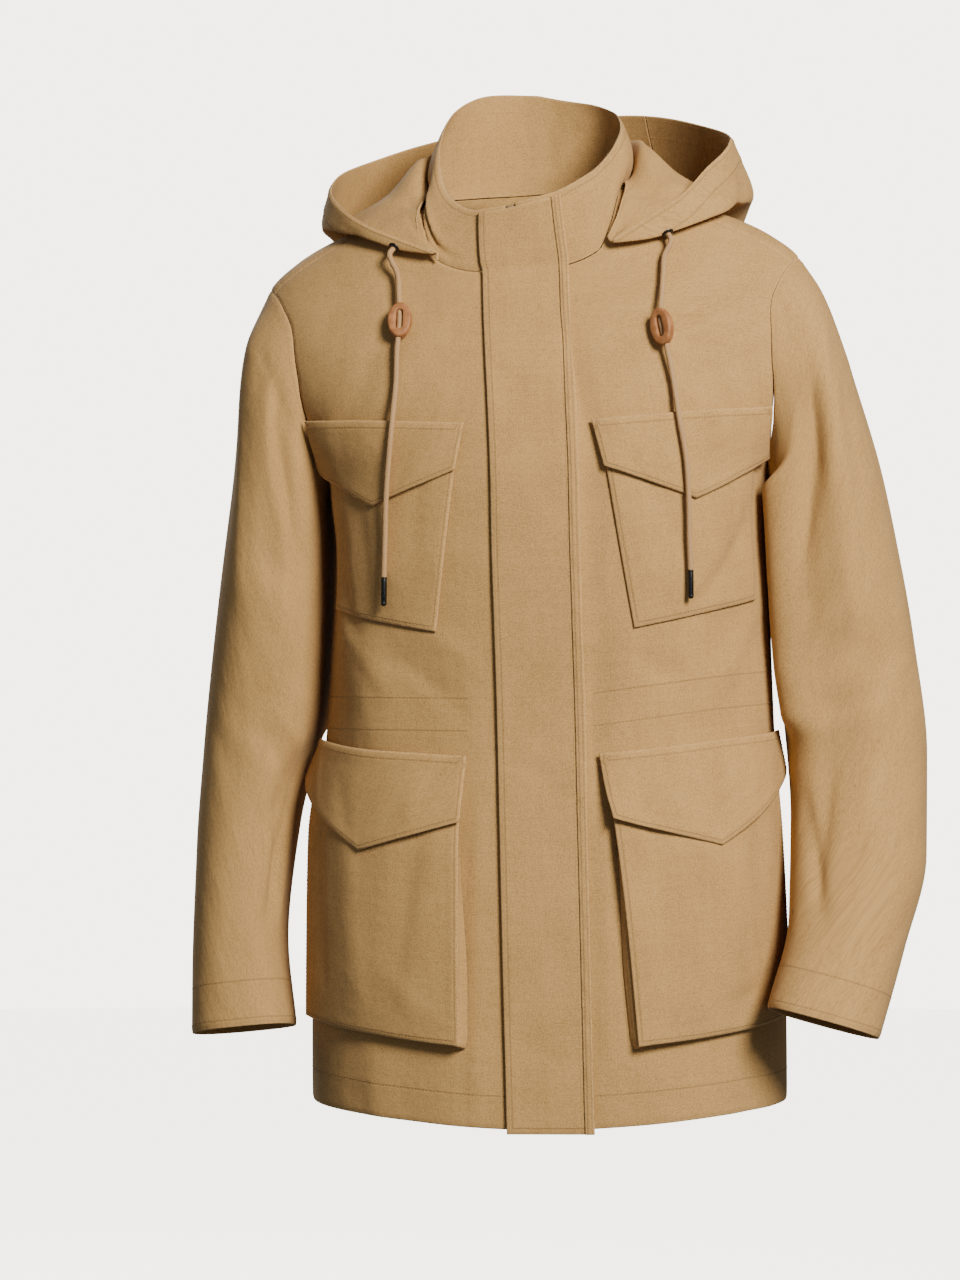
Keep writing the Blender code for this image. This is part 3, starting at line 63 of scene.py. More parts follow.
# the coat's own form, as its source gives it
body = {
    "lean": 0.016, "tilt": 0.0525,
    "sections": table(
        "z     width  front  back   power",
        (-0.82, 0.204, 0.14, 0.134, 2.3),
        (-0.64, 0.2, 0.139, 0.134, 2.3),
        (-0.52, 0.196, 0.134, 0.12, 2.3),
        (-0.436, 0.192, 0.13, 0.11, 2.3),
        (-0.36, 0.189, 0.134, 0.114, 2.3),
        (-0.3, 0.1875, 0.138, 0.122, 2.3),
        (-0.238, 0.189, 0.138, 0.128, 2.3),
        (-0.19, 0.213, 0.132, 0.13, 2.3),
        (-0.15, 0.232, 0.122, 0.128, 2.25),
        (-0.115, 0.2395, 0.11, 0.121, 2.2),
        (-0.085, 0.239, 0.096, 0.11, 2.1),
        (-0.0575, 0.2285, 0.083, 0.096, 1.95),
        (-0.035, 0.203, 0.0795, 0.086, 1.8),
        (-0.015, 0.163, 0.077, 0.079, 1.7),
        (-0.004, 0.127, 0.0755, 0.076, 1.75),
        (0.004, 0.1, 0.074, 0.073, 1.85),
        (0.01, 0.084, 0.073, 0.071, 2.0),
        (0.018, 0.079, 0.072, 0.07, 2.0),
    ),
    "centreFront": table(
        "z     across",
        (-0.82, 0.007), (-0.62, 0.002), (-0.42, -0.0035), (-0.21, -0.008), (-0.06, -0.0065),
        (0.01, -0.011),
    ),
    "neckline": table(
        "angle z",
        (0.0, -0.062), (25.0, -0.059), (41.5, -0.048), (49.0, -0.026), (56.0, -0.006), (64.0, 0.0045),
        (74.0, 0.01), (90.0, 0.0115), (118.0, 0.0145), (145.0, 0.017), (180.0, 0.018),
    ),
    # its large folds, and then the finer creases that only show here
    "folds": foldTable(
        (-64, -0.37, -54, -0.44, 0.0045, 0.03),
        (-78, -0.29, -73, -0.42, -0.005, 0.03),
        (66, -0.37, 60, -0.44, -0.004, 0.03),
        (80, -0.33, 77, -0.44, 0.003, 0.03),
        (-26, -0.73, -30, -0.8, 0.003, 0.032),
        (36, -0.735, 39, -0.8, 0.003, 0.032),
        (137, -0.17, 152, -0.4, -0.0055, 0.034),
        (-137, -0.17, -152, -0.4, -0.0055, 0.034),
        (115, -0.26, 125, -0.45, 0.0055, 0.032),
        (-115, -0.26, -125, -0.45, 0.0055, 0.032),
        (103, -0.3, 106, -0.48, -0.005, 0.032),
        (-103, -0.3, -106, -0.48, -0.005, 0.032),
        (133, -0.52, 139, -0.8, 0.0055, 0.034),
        (-131, -0.5, -137, -0.8, 0.0055, 0.034),
        (162, -0.48, 171, -0.8, -0.0045, 0.034),
    ),
    "creases": foldTable(
        (20, -0.12, 19, -0.34, -0.0028, 0.013, 0.004, 0.4),
        (24, -0.34, 22, -0.5, -0.002, 0.012, -0.003, 0.3),
        (-50, -0.1, -59, -0.19, -0.0014, 0.012, 0.004, 0.2),
        (-66, -0.27, -58, -0.385, -0.0022, 0.011, -0.004, -0.3),
        (-47, -0.385, -27, -0.428, -0.0016, 0.01, 0.003, 0.3),
        (-38, -0.362, -20, -0.392, 0.0012, 0.01, 0.003, 0.0),
        (-72, -0.345, -50, -0.41, 0.0018, 0.009, 0.004, 0.2),
        (55, -0.11, 63, -0.2, -0.0013, 0.012, -0.004, 0.2),
        (70, -0.255, 52, -0.345, -0.0019, 0.011, 0.005, 0.3),
        (33, -0.385, 51, -0.415, -0.0014, 0.01, 0.002, 0.2),
        (74, -0.35, 61, -0.42, 0.0018, 0.009, -0.003, -0.2),
        (24, -0.52, 21, -0.76, 0.0018, 0.012, 0.003, 0.2),
        (-19, -0.48, -21, -0.77, 0.0014, 0.01, -0.002, 0.2),
        (62, -0.715, 66, -0.79, -0.0018, 0.014, 0.002, 0.0),
        (-52, -0.715, -50, -0.79, 0.0018, 0.014, 0.0, 0.2),
        (-84, -0.48, -88, -0.76, 0.0026, 0.014, 0.004, 0.3),
        (85, -0.47, 88, -0.76, 0.0024, 0.014, -0.003, -0.3),
        (128, -0.215, 146, -0.3, -0.0024, 0.011, 0.006, 0.3),
        (-126, -0.225, -148, -0.318, -0.0026, 0.012, -0.006, -0.3),
        (150, -0.245, 173, -0.262, 0.0016, 0.012, 0.006, 0.2),
        (-158, -0.3, -177, -0.322, -0.0014, 0.011, 0.004, 0.2),
        (118, -0.395, 146, -0.432, -0.002, 0.01, 0.004, 0.3),
        (-121, -0.405, -152, -0.428, 0.002, 0.01, -0.004, 0.3),
        (158, -0.392, 184, -0.424, -0.0015, 0.01, 0.003, 0.2),
        (112, -0.51, 117, -0.7, -0.0024, 0.014, 0.005, 0.3),
        (-113, -0.52, -119, -0.74, 0.0026, 0.014, -0.005, 0.3),
        (150, -0.5, 156, -0.65, 0.002, 0.013, 0.003, 0.2),
        (-152, -0.56, -157, -0.79, -0.0024, 0.014, 0.003, 0.3),
        (178, -0.06, 176, -0.19, -0.001, 0.014, 0.002, 0.2),
    ),
    "creaseDepth": 1.3, "creaseFade": 0.6, "metresADegree": 0.0029, "wall": 0.0018, "zipGap": 0.0045,
    "hem": -0.764, "frontDrop": 0.013, "dropFrom": -0.45, "dropOver": 0.31, "closeBelowNeck": 0.16,
    "underarm": -0.238, "shoulderTip": -0.0575, "armholeFront": 0.069, "armholeBack": 0.076,
    "shoulderSeam": 161.0, "neckPoint": 74.0, "shoulderGap": 0.02, "sideGap": 0.002,
    "seamRoll": 0.0008, "rollWidth": 0.0034,
    "waistMiddle": -0.4335, "waistSides": (0.017, 0.004), "waistBack": 0.01,  # its rise on all sides
    "waistHalf": 0.0135, "waistEnd": 0.051, "hemStitch": 0.027, "neckStitch": 0.006,
    # how much of the tilt each height has: all over, and more from a height on, over a length
    "tiltAll": 0.1, "tiltHips": (0.32, -0.76, 0.25), "tiltChest": (0.58, -0.2, 0.14), "leanOver": 0.25,
    "armFront": 92.0, "armBack": 268.0,
}
# lines beside an open edge that carry its roll, and where the even ones start
edgeLines, evenFrom = np.array([0, 0.0011, 0.0026, 0.0046]), 0.0072


def smooth(x, xs, ys):
    # a monotone cubic through a table's points, held at its end values; ys may hold several columns
    x, ys = np.clip(x, xs[0], xs[-1]), np.asarray(ys, float)
    wide = (slice(None),) + (None,) * (ys.ndim - 1)
    step = np.diff(xs)[wide]
    slope = np.diff(ys, axis=0) / step
    rising = slope[1:] * slope[:-1] > 0
    before, after = np.where(rising, slope[:-1], 1.0), np.where(rising, slope[1:], 1.0)
    near, far = 2 * step[1:] + step[:-1], step[1:] + 2 * step[:-1]
    inside = np.where(rising, (near + far) / (near / before + far / after), 0.0)
    tangent = np.concatenate([slope[:1], inside, slope[-1:]])
    i = np.clip(np.searchsorted(xs, x, "right") - 1, 0, len(xs) - 2)
    t = ((x - xs[i]) / (xs[i + 1] - xs[i]))[(...,) + (None,) * (ys.ndim - 1)]
    return (
        ys[i] * (1 + 2 * t) * (1 - t) ** 2
        + ys[i + 1] * t * t * (3 - 2 * t)
        + step[i] * t * (1 - t) * (tangent[i] * (1 - t) - tangent[i + 1] * t)
    )


def rounded(x, xs, ys):
    # a cubic through the points that may swell between them, its slopes those of the parabola through
    # three points; one row of knots xs for each row of x
    gap = np.diff(xs, axis=-1)
    rise = np.diff(ys, axis=-1) / gap
    inner = (rise[..., :-1] * gap[..., 1:] + rise[..., 1:] * gap[..., :-1]) / (gap[..., 1:] + gap[..., :-1])
    slope = np.concatenate([rise[..., :1], inner, rise[..., -1:]], -1)
    total = np.zeros(x.shape)
    for k in range(xs.shape[-1] - 1):  # one stretch between two knots at a time
        step, start = gap[..., k:k + 1], xs[..., k:k + 1]
        t = (x - start) / step
        here = (t >= 0) & (t < 1) if k < xs.shape[-1] - 2 else t >= 0
        value = (
            ys[..., k:k + 1] * (1 + 2 * t) * (1 - t) ** 2
            + ys[..., k + 1:k + 2] * t * t * (3 - 2 * t)
            + step * t * (1 - t) * (slope[..., k:k + 1] * (1 - t) - slope[..., k + 1:k + 2] * t)
        )
        total = np.where(here, value, total)
    return total


def ease(t):  # 0 below 0, 1 above 1, and smooth between
    t = np.clip(t, 0, 1)
    return t * t * (3 - 2 * t)


def foldsAt(u, v, folds, uScale, vScale, fade=0.0):
    # each fold is height * exp(-(distance from its bowed line / width)^2), steeper on one side by its skew,
    # and fades towards its ends
    total = np.zeros(np.broadcast(u, v).shape)
    for u0, v0, u1, v1, height, width, bow, skew in zip(*folds.values()):
        du, dv = (u1 - u0) * uScale, (v1 - v0) * vScale
        pu, pv = (u - u0) * uScale, (v - v0) * vScale
        size = math.hypot(du, dv)
        along = (pu * du + pv * dv) / size
        t = np.clip(along / size, 0, 1)
        off = (pv * du - pu * dv) / size - bow * 4 * t * (1 - t)
        away = (off / (width * (1 + skew * np.sign(off)))) ** 2 + ((along - t * size) / width) ** 2
        total += height * np.exp(-away) * (1 - fade + fade * np.sin(math.pi * t) ** 0.7)
    return total


def foldsAround(turn, v, folds, uScale, vScale, fade=0.0):  # the folds of a ring, carried on past its ends
    return sum(foldsAt(turn + k, v, folds, uScale, vScale, fade) for k in (-360, 0, 360))


def foldsRound(angle, z, folds, fade):
    # the same for the body, whose folds all lie within 215 degrees of its front
    near = foldsAt(angle, z, folds, body["metresADegree"], 1.0, fade)
    for k in (-360, 360):
        far = np.abs(angle + k) < 215
        if far.any():
            near = near + np.where(far, foldsAt(angle + k, z, folds, body["metresADegree"], 1.0, fade), 0.0)
    return near


def posed(p):  # leans the body and tilts its shoulders
    x, y, z = p[..., 0], p[..., 1], p[..., 2]
    tilt = body["tiltAll"]
    for more, start, over in (body["tiltHips"], body["tiltChest"]):
        tilt = tilt + more * ease((z - start) / over)
    return np.stack([x + body["lean"] * ease(-z / body["leanOver"]), y, z + body["tilt"] * x * tilt], -1)


def section(z, name):
    return smooth(z, body["sections"]["z"], body["sections"][name])


def slid(angle, z):  # where the front hangs, as its centre is off the body's middle
    off = smooth(z, body["centreFront"]["z"], body["centreFront"]["across"]) / section(z, "front")
    return angle + np.degrees(off) * np.clip(np.cos(np.radians(angle)), 0, 1) ** 2


def torsoForm(angle, z, creased=True):
    # superellipse of the table's half width and depth at height z, moved out by the folds;
    # the angle starts at centre front
    angle, z = np.broadcast_arrays(np.asarray(angle, float), np.asarray(z, float))
    width, power = section(z, "width"), section(z, "power")
    turn = np.radians(slid(angle, z))
    s, c = np.sin(turn), np.cos(turn)
    deep = np.where(c > 0, section(z, "front"), section(z, "back"))
    across, along = np.abs(s) / width, np.abs(c) / deep
    reach = (across**power + along**power) ** (-1 / power)
    outX = np.sign(s) * across ** (power - 1) / width
    outY = -np.sign(c) * along ** (power - 1) / deep
    size = np.hypot(outX, outY)
    turned = np.where(angle > 180, angle - 360, angle)
    fold = foldsRound(turned, z, body["folds"], 0.0)
    if creased:
        fold = fold + body["creaseDepth"] * foldsRound(turned, z, body["creases"], body["creaseFade"])
    return np.stack([reach * s + fold * outX / size, -reach * c + fold * outY / size, z], -1)


def torso(angle, z, creased=True):
    # the posed outer face and its unit normals, from small steps round and up
    angle, z = np.broadcast_arrays(np.asarray(angle, float), np.asarray(z, float))
    turn, rise = 0.6, 0.0015
    along = posed(torsoForm(angle + turn, z, creased)) - posed(torsoForm(angle - turn, z, creased))
    up = posed(torsoForm(angle, z + rise, creased)) - posed(torsoForm(angle, z - rise, creased))
    return posed(torsoForm(angle, z, creased)), unit(np.cross(along, up))


girthLevels, girthSteps = np.linspace(-0.83, 0.02, 171), np.linspace(-0.34, 0.34, 273)


def girthTable():  # for each level, the angle that lies each distance round from centre front
    turns = np.linspace(-120, 120, 161)
    ring = torsoForm(turns[None], girthLevels[:, None], False)
    run = np.cumsum(np.linalg.norm(np.diff(ring, axis=1), axis=2), axis=1)
    run = np.concatenate([np.zeros((len(run), 1)), run], 1)
    middle = len(turns) // 2
    return np.array([np.interp(girthSteps, row - row[middle], turns) for row in run])


girthAngles = girthTable()


def angleAt(girth, z):  # looks the angle up between the levels and distances of the table
    girth, z = np.broadcast_arrays(np.asarray(girth, float), np.asarray(z, float))
    row = np.clip((z - girthLevels[0]) / (girthLevels[1] - girthLevels[0]), 0, len(girthLevels) - 1.001)
    column = np.clip((girth - girthSteps[0]) / (girthSteps[1] - girthSteps[0]), 0, len(girthSteps) - 1.001)
    r, c = row.astype(int), column.astype(int)
    fr, fc = row - r, column - c
    low = girthAngles[r, c] * (1 - fc) + girthAngles[r, c + 1] * fc
    return low * (1 - fr) + (girthAngles[r + 1, c] * (1 - fc) + girthAngles[r + 1, c + 1] * fc) * fr


def armhole(around):
    # (angle, z) of its edge: around is 0 at the underarm, 90 in front, 180 on the shoulder, 270 behind
    a = np.radians(np.asarray(around, float))
    low, high = body["underarm"], body["shoulderTip"]
    z = (low + high) / 2 - (high - low) / 2 * np.cos(a)
    front, power = np.sin(a) > 0, section(z, "power")
    deep = np.where(front, section(z, "front"), section(z, "back"))
    reach = np.abs(np.sin(a)) * np.where(front, body["armholeFront"], body["armholeBack"])
    out = section(z, "width") * (1 - np.clip(reach / deep, 0, 1) ** power) ** (1 / power)
    return np.degrees(np.arctan2(out, np.where(front, reach, -reach))), z


def neckHeight(angle):
    return smooth(np.abs(angle), body["neckline"]["angle"], body["neckline"]["z"])


def gridNormals(points, closed=False):
    if closed:
        along = np.roll(points, -1, axis=1) - np.roll(points, 1, axis=1)
    else:
        along = np.gradient(points, axis=1)
    return unit(np.cross(along, np.gradient(points, axis=0)))


def closeEnds(count, length):  # shares of a length, with closer lines at both ends for the rolled edges
    ends = edgeLines / length
    middle = np.linspace(evenFrom / length, 1 - evenFrom / length, max(count - 8, 2))
    return np.concatenate([ends, middle, 1 - ends[::-1]])


def runs(points):  # distance round (u) and up (v) over a grid, row by row and column by column
    u, v = np.zeros(points.shape[:2]), np.zeros(points.shape[:2])
    u[:, 1:] = np.cumsum(np.linalg.norm(np.diff(points, axis=1), axis=2), axis=1)
    v[1:] = np.cumsum(np.linalg.norm(np.diff(points, axis=0), axis=2), axis=0)
    return u, v


def edgeDistance(u, v, sides="lrbt"):  # how far a point is from the named sides of its piece
    far = {"l": u, "r": u[:, -1:] - u, "b": v, "t": v[-1:] - v}
    return np.minimum.reduce([far[k] for k in sides])


def rolledEdge(points, sides="lrbt", depth=0.0006, width=0.003):
    # the grid's runs, each point's distance from the open sides, and how far it is rolled in there
    u, v = runs(points)
    edge = edgeDistance(u, v, sides)
    return u, v, edge, -depth * (1 - ease(edge / width))


# camera and light: a sun-warm key in front on the wearer's left, and a broad weak lamp that lights the back
studio = {
    "turn": 6.0, "distance": 3.6, "lens": 117.7, "aimAcross": -0.0439, "aimUp": -0.3715,
    "air": (0.9, 0.95, 1.0), "airStrength": 0.19,
    "keyAt": (2.0, -2.9, 1.5), "keySize": 1.4, "keyPower": 275.0, "keyColour": (1.0, 0.94, 0.8),
    "rearAt": (-1.8, 3.2, 1.3), "rearSize": 2.6, "rearPower": 95.0, "lampAim": (0, 0, -0.35),
    "floorZ": -1.46, "floorRadius": 8.9, "floorShare": 0.85,  # its share of the dome's brightness
    "domeRadius": 9.0, "domeColour": (1.0, 0.96, 0.85), "domeStrength": 5.0,
}


def makeStudio():
    a = math.radians(studio["turn"])
    right, back = Vector((math.cos(a), math.sin(a), 0)), Vector((math.sin(a), -math.cos(a), 0))
    aim = right * studio["aimAcross"] + Vector((0, 0, studio["aimUp"]))
    camera = bpy.data.objects.new("camera", bpy.data.cameras.new("camera"))
    bpy.context.scene.collection.objects.link(camera)
    camera.location = aim + back * studio["distance"]
    camera.rotation_euler = (-back).to_track_quat("-Z", "Y").to_euler()
    camera.data.lens, camera.data.sensor_width = studio["lens"], 36
    bpy.context.scene.camera = camera
    for name in ("key", "rear"):
        lamp = bpy.data.lights.new(name, "AREA")
        lamp.shape, lamp.size, lamp.energy = "DISK", studio[name + "Size"], studio[name + "Power"]
        if name == "key":
            lamp.color = studio["keyColour"]
        placed = bpy.data.objects.new(name, lamp)
        placed.location = studio[name + "At"]
        ray = Vector(studio["lampAim"]) - placed.location
        placed.rotation_euler = ray.to_track_quat("-Z", "Y").to_euler()
        bpy.context.scene.collection.objects.link(placed)
    air = bpy.data.worlds.new("air")
    air.use_nodes = True
    air.node_tree.nodes["Background"].inputs["Color"].default_value = (*studio["air"], 1)
    air.node_tree.nodes["Background"].inputs["Strength"].default_value = studio["airStrength"]
    bpy.context.scene.world = air
    turn = np.linspace(0, math.tau, 49)[None, :-1]
    ring = np.stack([np.cos(turn), np.sin(turn), 0 * turn], -1) * studio["floorRadius"]
    ring[..., 2] = studio["floorZ"]
    floor = meshFrom("floor", ring.reshape(-1, 3), [tuple(range(48))], paintFloor())
    floor.visible_diffuse = floor.visible_glossy = False
    makeDome()
    print("camera and light made")


def makeDome():  # an even pale surround for the camera's own rays: it neither lights nor shades the coat
    up, turn = np.linspace(-math.pi / 2, math.pi / 2, 25)[1:-1], np.linspace(0, math.tau, 49)
    up, turn = np.meshgrid(up, turn, indexing="ij")
    ball = np.stack([np.cos(up) * np.cos(turn), np.cos(up) * np.sin(turn), np.sin(up)], -1)
    made, _, shader = newFinish("paleSurround", 1.0)
    shader.inputs["Base Color"].default_value = (0, 0, 0, 1)
    shader.inputs["Specular IOR Level"].default_value = 0
    shader.inputs["Emission Color"].default_value = (*studio["domeColour"], 1)
    shader.inputs["Emission Strength"].default_value = studio["domeStrength"]
    dome = ringMesh("surround", ball * studio["domeRadius"], made)
    dome.visible_diffuse = dome.visible_glossy = dome.visible_shadow = dome.visible_transmission = False
    return dome


class Paint:  # one socket of a shader's tree, so that sums on it read as sums
    def __init__(self, tree, socket=None):
        self.tree, self.socket = tree, socket

    def node(self, kind, settings=None, inputs=None, out=0):  # any node: its settings first, then its sockets
        made = self.tree.nodes.new(kind)
        for name, value in (settings or {}).items():
            setattr(made, name, value)
        for name, value in (inputs or {}).items():
            if isinstance(value, Paint):
                self.tree.links.new(value.socket, made.inputs[name])
            else:
                made.inputs[name].default_value = value
        return Paint(self.tree, made.outputs[out])

    def maths(self, operation, *values):
        return self.node("ShaderNodeMath", {"operation": operation}, dict(enumerate(values)))

    def size(self):
        return self.maths("ABSOLUTE", self)

    def within(self, low, high):  # 0 at low, 1 at high, smooth between
        settings = {"interpolation_type": "SMOOTHSTEP"}
        return self.node("ShaderNodeMapRange", settings, {"Value": self, "From Min": low, "From Max": high})

    def stretched(self, across, up):  # the same place with its scale changed along each way of the cloth
        return self.node("ShaderNodeMapping", None, {"Vector": self, "Scale": (across, up, 1.0)})

    def noise(self, scale, detail=2.0, rough=0.5):
        inputs = {"Vector": self, "Scale": scale, "Detail": detail, "Roughness": rough}
        return self.node("ShaderNodeTexNoise", None, inputs)

    def blend(self, share, other):  # this colour, going over to the other one by the share
        settings = {"data_type": "RGBA", "blend_type": "MIX"}
        return self.node("ShaderNodeMix", settings, {0: share, 6: self, 7: other}, 2)

    def colour(self, rgb):
        made = self.node("ShaderNodeRGB")
        made.socket.default_value = (*rgb, 1)
        return made


# the operators that the finishes use, each with its reflected form
for sign, operation in {"add": "ADD", "sub": "SUBTRACT", "mul": "MULTIPLY"}.items():
    setattr(Paint, f"__{sign}__", lambda self, other, kind=operation: self.maths(kind, self, other))
    setattr(Paint, f"__r{sign}__", lambda self, other, kind=operation: self.maths(kind, other, self))


def newFinish(name, roughness, metallic=0.0, sheen=0.0):
    made = bpy.data.materials.new(name)
    made.use_nodes = True
    shader = made.node_tree.nodes["Principled BSDF"]
    shader.inputs["Roughness"].default_value = roughness
    shader.inputs["Metallic"].default_value = metallic
    shader.inputs["Sheen Weight"].default_value = sheen
    return made, Paint(made.node_tree), shader


def finishWith(made, shader, colour=None, rough=None, height=None, depth=0.001):
    links = made.node_tree.links
    if colour:
        links.new(colour.socket, shader.inputs["Base Color"])
    if rough:
        links.new(rough.socket, shader.inputs["Roughness"])
    if height:
        bump = height.node("ShaderNodeBump", None, {"Strength": 1.0, "Distance": depth, "Height": height})
        links.new(bump.socket, shader.inputs["Normal"])
    return made


def paintFloor():
    made, _, shader = newFinish("paleFloor", 0.9)
    shader.inputs["Base Color"].default_value = (0.8, 0.79, 0.76, 1)
    shader.inputs["Emission Color"].default_value = (*studio["domeColour"], 1)
    shader.inputs["Emission Strength"].default_value = studio["domeStrength"] * studio["floorShare"]
    return made


cloth = {
    "lit": (0.535, 0.32, 0.122), "deep": (0.326, 0.184, 0.066), "worn": (0.625, 0.392, 0.18),
    "thread": (0.5, 0.3, 0.13), "threadsAcross": 1500.0, "threadLength": 150.0, "grooveShade": 0.62,
}


def paintCanvas(name):
    # woven canvas: crossed threads as long thin noise both ways, slubs and soft mottling, a painted highlight
    # in patches along the open edges, and a pressed groove with small puckers and painted shade along each
    # line of sewing
    made, paint, shader = newFinish(name, 0.86, sheen=0.05)
    shader.inputs["Sheen Roughness"].default_value = 0.6
    shader.inputs["Specular IOR Level"].default_value = 0.18
    place = paint.node("ShaderNodeUVMap", {"uv_map": "uv"})
    edge = paint.node("ShaderNodeAttribute", {"attribute_name": "edge"}, None, 2)
    line = paint.node("ShaderNodeAttribute", {"attribute_name": "line"}, None, 2).size()
    warp = place.stretched(cloth["threadsAcross"], cloth["threadLength"]).noise(1.0, 2.0)
    weft = place.stretched(cloth["threadLength"], cloth["threadsAcross"]).noise(1.0, 2.0)
    grain = place.stretched(620.0, 520.0).noise(1.0, 3.0, 0.6)
    slub = place.stretched(260.0, 14.0).noise(1.0, 2.0) * 0.5
    slub = slub + place.stretched(14.0, 260.0).noise(1.0, 2.0) * 0.5
    mottle = place.stretched(26.0, 20.0).noise(1.0, 3.0)
    fleck = place.stretched(1150.0, 980.0).noise(1.0, 1.0)
    tone = (warp + weft) * 0.55 + grain * 0.85 + fleck * 1.0 + slub * 0.4 + mottle * 0.36 - 1.355
    base = paint.colour(cloth["deep"])
    base = base.blend(tone.within(0.05, 0.8), paint.colour(cloth["lit"]))
    # painted highlight: the open edges paler in patches, standing in for light catching the rolled edges
    paintedEdgeHighlight = (1.0 - edge.within(0.0004, 0.0024)) * grain.within(0.3, 0.62)
    base = base.blend(paintedEdgeHighlight * 0.55, paint.colour(cloth["worn"]))
    # painted shade: darker along each line of sewing, where the pressed groove holds shade; the same mask
    # also dents the bump
    grooveDentAndShade = 1.0 - line.within(0.0002, 0.0011)
    base = base.blend(grooveDentAndShade * 0.34, paint.colour([c * cloth["grooveShade"] for c in cloth["deep"]]))
    pucker = place.stretched(150.0, 150.0).noise(1.0, 1.0)
    nearLine = 1.0 - line.within(0.001, 0.009)
    ripple = place.stretched(70.0, 48.0).noise(1.0, 2.0)
    height = (warp + weft) * 0.06 + grain * 0.08 + pucker * nearLine * 0.24 - grooveDentAndShade * 0.22 + slub * 0.09
    height = height + mottle * 1.1 + ripple * 0.4
    rough = 0.8 + grain * 0.14
    return finishWith(made, shader, base, rough, height, 0.0012)


def meshFrom(name, points, faces, made, uvs=None):
    mesh = bpy.data.meshes.new(name)
    mesh.from_pydata(np.asarray(points, float).tolist(), [], [list(map(int, f)) for f in faces])
    if uvs is not None:
        mesh.uv_layers.new(name="uv").data.foreach_set("uv", np.asarray(uvs, np.float32).ravel())
    mesh.shade_smooth()
    mesh.materials.append(made)
    placed = bpy.data.objects.new(name, mesh)
    bpy.context.scene.collection.objects.link(placed)
    return placed


def gridQuads(rows, columns, start=0):
    r, c = np.meshgrid(np.arange(rows - 1), np.arange(columns - 1), indexing="ij")
    low = (start + r * columns + c).ravel()
    return np.stack([low, low + 1, low + columns + 1, low + columns], 1)


def clothPiece(name, node, outer, inner, edges, lines, made, shift=0.0):
    # a wall between two lists of grids: shared points are made one, open edges get a rim,
    # and the cloth's own lengths along the grid give the weave its place
    raw = np.concatenate([g.reshape(-1, 3) for g in outer])
    behind = np.concatenate([g.reshape(-1, 3) for g in inner])
    _, first, same = np.unique(np.round(raw, 7), axis=0, return_index=True, return_inverse=True)
    same, count = same.ravel(), len(first)
    quads, start = [], 0
    for g in outer:
        quads.append(gridQuads(*g.shape[:2], start))
        start += g.shape[0] * g.shape[1]
    quads = np.concatenate(quads)
    place = np.concatenate([np.stack(runs(g), -1).reshape(-1, 2) for g in outer]) + shift
    joined = same[quads]
    ends = np.concatenate([np.stack([joined[:, k], joined[:, (k + 1) % 4]], 1) for k in range(4)])
    rawEnds = np.concatenate([np.stack([quads[:, k], quads[:, (k + 1) % 4]], 1) for k in range(4)])
    open_ = ~np.isin(ends[:, 0] * count + ends[:, 1], ends[:, 1] * count + ends[:, 0])
    a, b = ends[open_].T
    rawA, rawB = rawEnds[open_].T
    faces = np.concatenate([joined, joined[:, ::-1] + count, np.stack([b, a, a + count, b + count], 1)])
    source = np.concatenate([quads, quads[:, ::-1], np.stack([rawB, rawA, rawA, rawB], 1)])
    points = np.concatenate([raw[first], behind[first]])
    keep = np.array([len(set(f)) == 4 for f in faces.tolist()])
    faces, source = faces[keep], source[keep]
    placed = meshFrom(name, points, faces, made, place[source.ravel()])
    edge = np.concatenate([np.broadcast_to(e, g.shape[:2]).ravel() for e, g in zip(edges, outer)])[first]
    line = np.concatenate([np.broadcast_to(e, g.shape[:2]).ravel() for e, g in zip(lines, outer)])[first]
    for word, value, far in (("edge", edge, 0.0), ("line", line, 1.0)):
        layer = placed.data.attributes.new(word, "FLOAT", "POINT")
        layer.data.foreach_set("value", np.concatenate([value, value * (1 - far) + far]).astype(np.float32))
    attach(placed, "root")
    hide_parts(node)
    squares = [np.cross(g[1:, :-1] - g[:-1, :-1], g[:-1, 1:] - g[:-1, :-1]) for g in outer]
    size = sum(np.linalg.norm(k, axis=-1).sum() for k in squares)
    print(f"{name}: {len(faces) * 2} triangles, {size:.4f} m2 of cloth")
    return placed


stitchForm = {
    "length": 0.0024, "pitch": 0.0034, "radius": 0.00027, "sides": 5,
    # one thread's outline: along it as a share of its length, its width and its rise as shares of the radius
    "outline": ((-0.5, 0.35, -0.9), (-0.26, 1.0, 0.1), (0.26, 1.0, 0.1), (0.5, 0.35, -0.9)),
}


def makeStitches(name, rows, made):
    # one thread form repeated: a five-sided spindle along each row, its ends sunk into the cloth
    middle, along, out = [], [], []
    pitch, radius, sides = stitchForm["pitch"], stitchForm["radius"], stitchForm["sides"]
    for points, normals in rows:
        run = lengthAlong(points)
        at = np.arange(pitch / 2, run[-1] - pitch / 2, pitch)
        for target, source in ((middle, points), (out, normals), (along, np.gradient(points, axis=0))):
            target.append(pointsAt(at, run, source))
    middle, along, out = (np.concatenate(k) for k in (middle, along, out))
    along, out = unit(along), unit(out)
    side = np.cross(along, out)
    turn = np.arange(sides) * math.tau / sides
    ring = side[:, None] * np.cos(turn)[None, :, None] + out[:, None] * np.sin(turn)[None, :, None]
    points = np.concatenate([
        (middle + along * (reach * stitchForm["length"]) + out * (rise * radius))[:, None]
        + ring * (radius * wide)
        for reach, wide, rise in stitchForm["outline"]
    ], 1)
    k = np.arange(sides)
    band = np.stack([k, (k + 1) % sides, sides + (k + 1) % sides, sides + k], 1)
    size = points.shape[1]
    first = (np.arange(len(middle)) * size)[:, None, None]
    quads = (np.concatenate([band, band + sides, band + 2 * sides])[None] + first).reshape(-1, 4)
    caps = (np.stack([k[::-1], k + size - sides])[None] + first).reshape(-1, sides)
    placed = meshFrom(name, points.reshape(-1, 3), quads.tolist() + caps.tolist(), made)
    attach(placed, "root")
    print(f"{name}: {len(middle)} stitches")


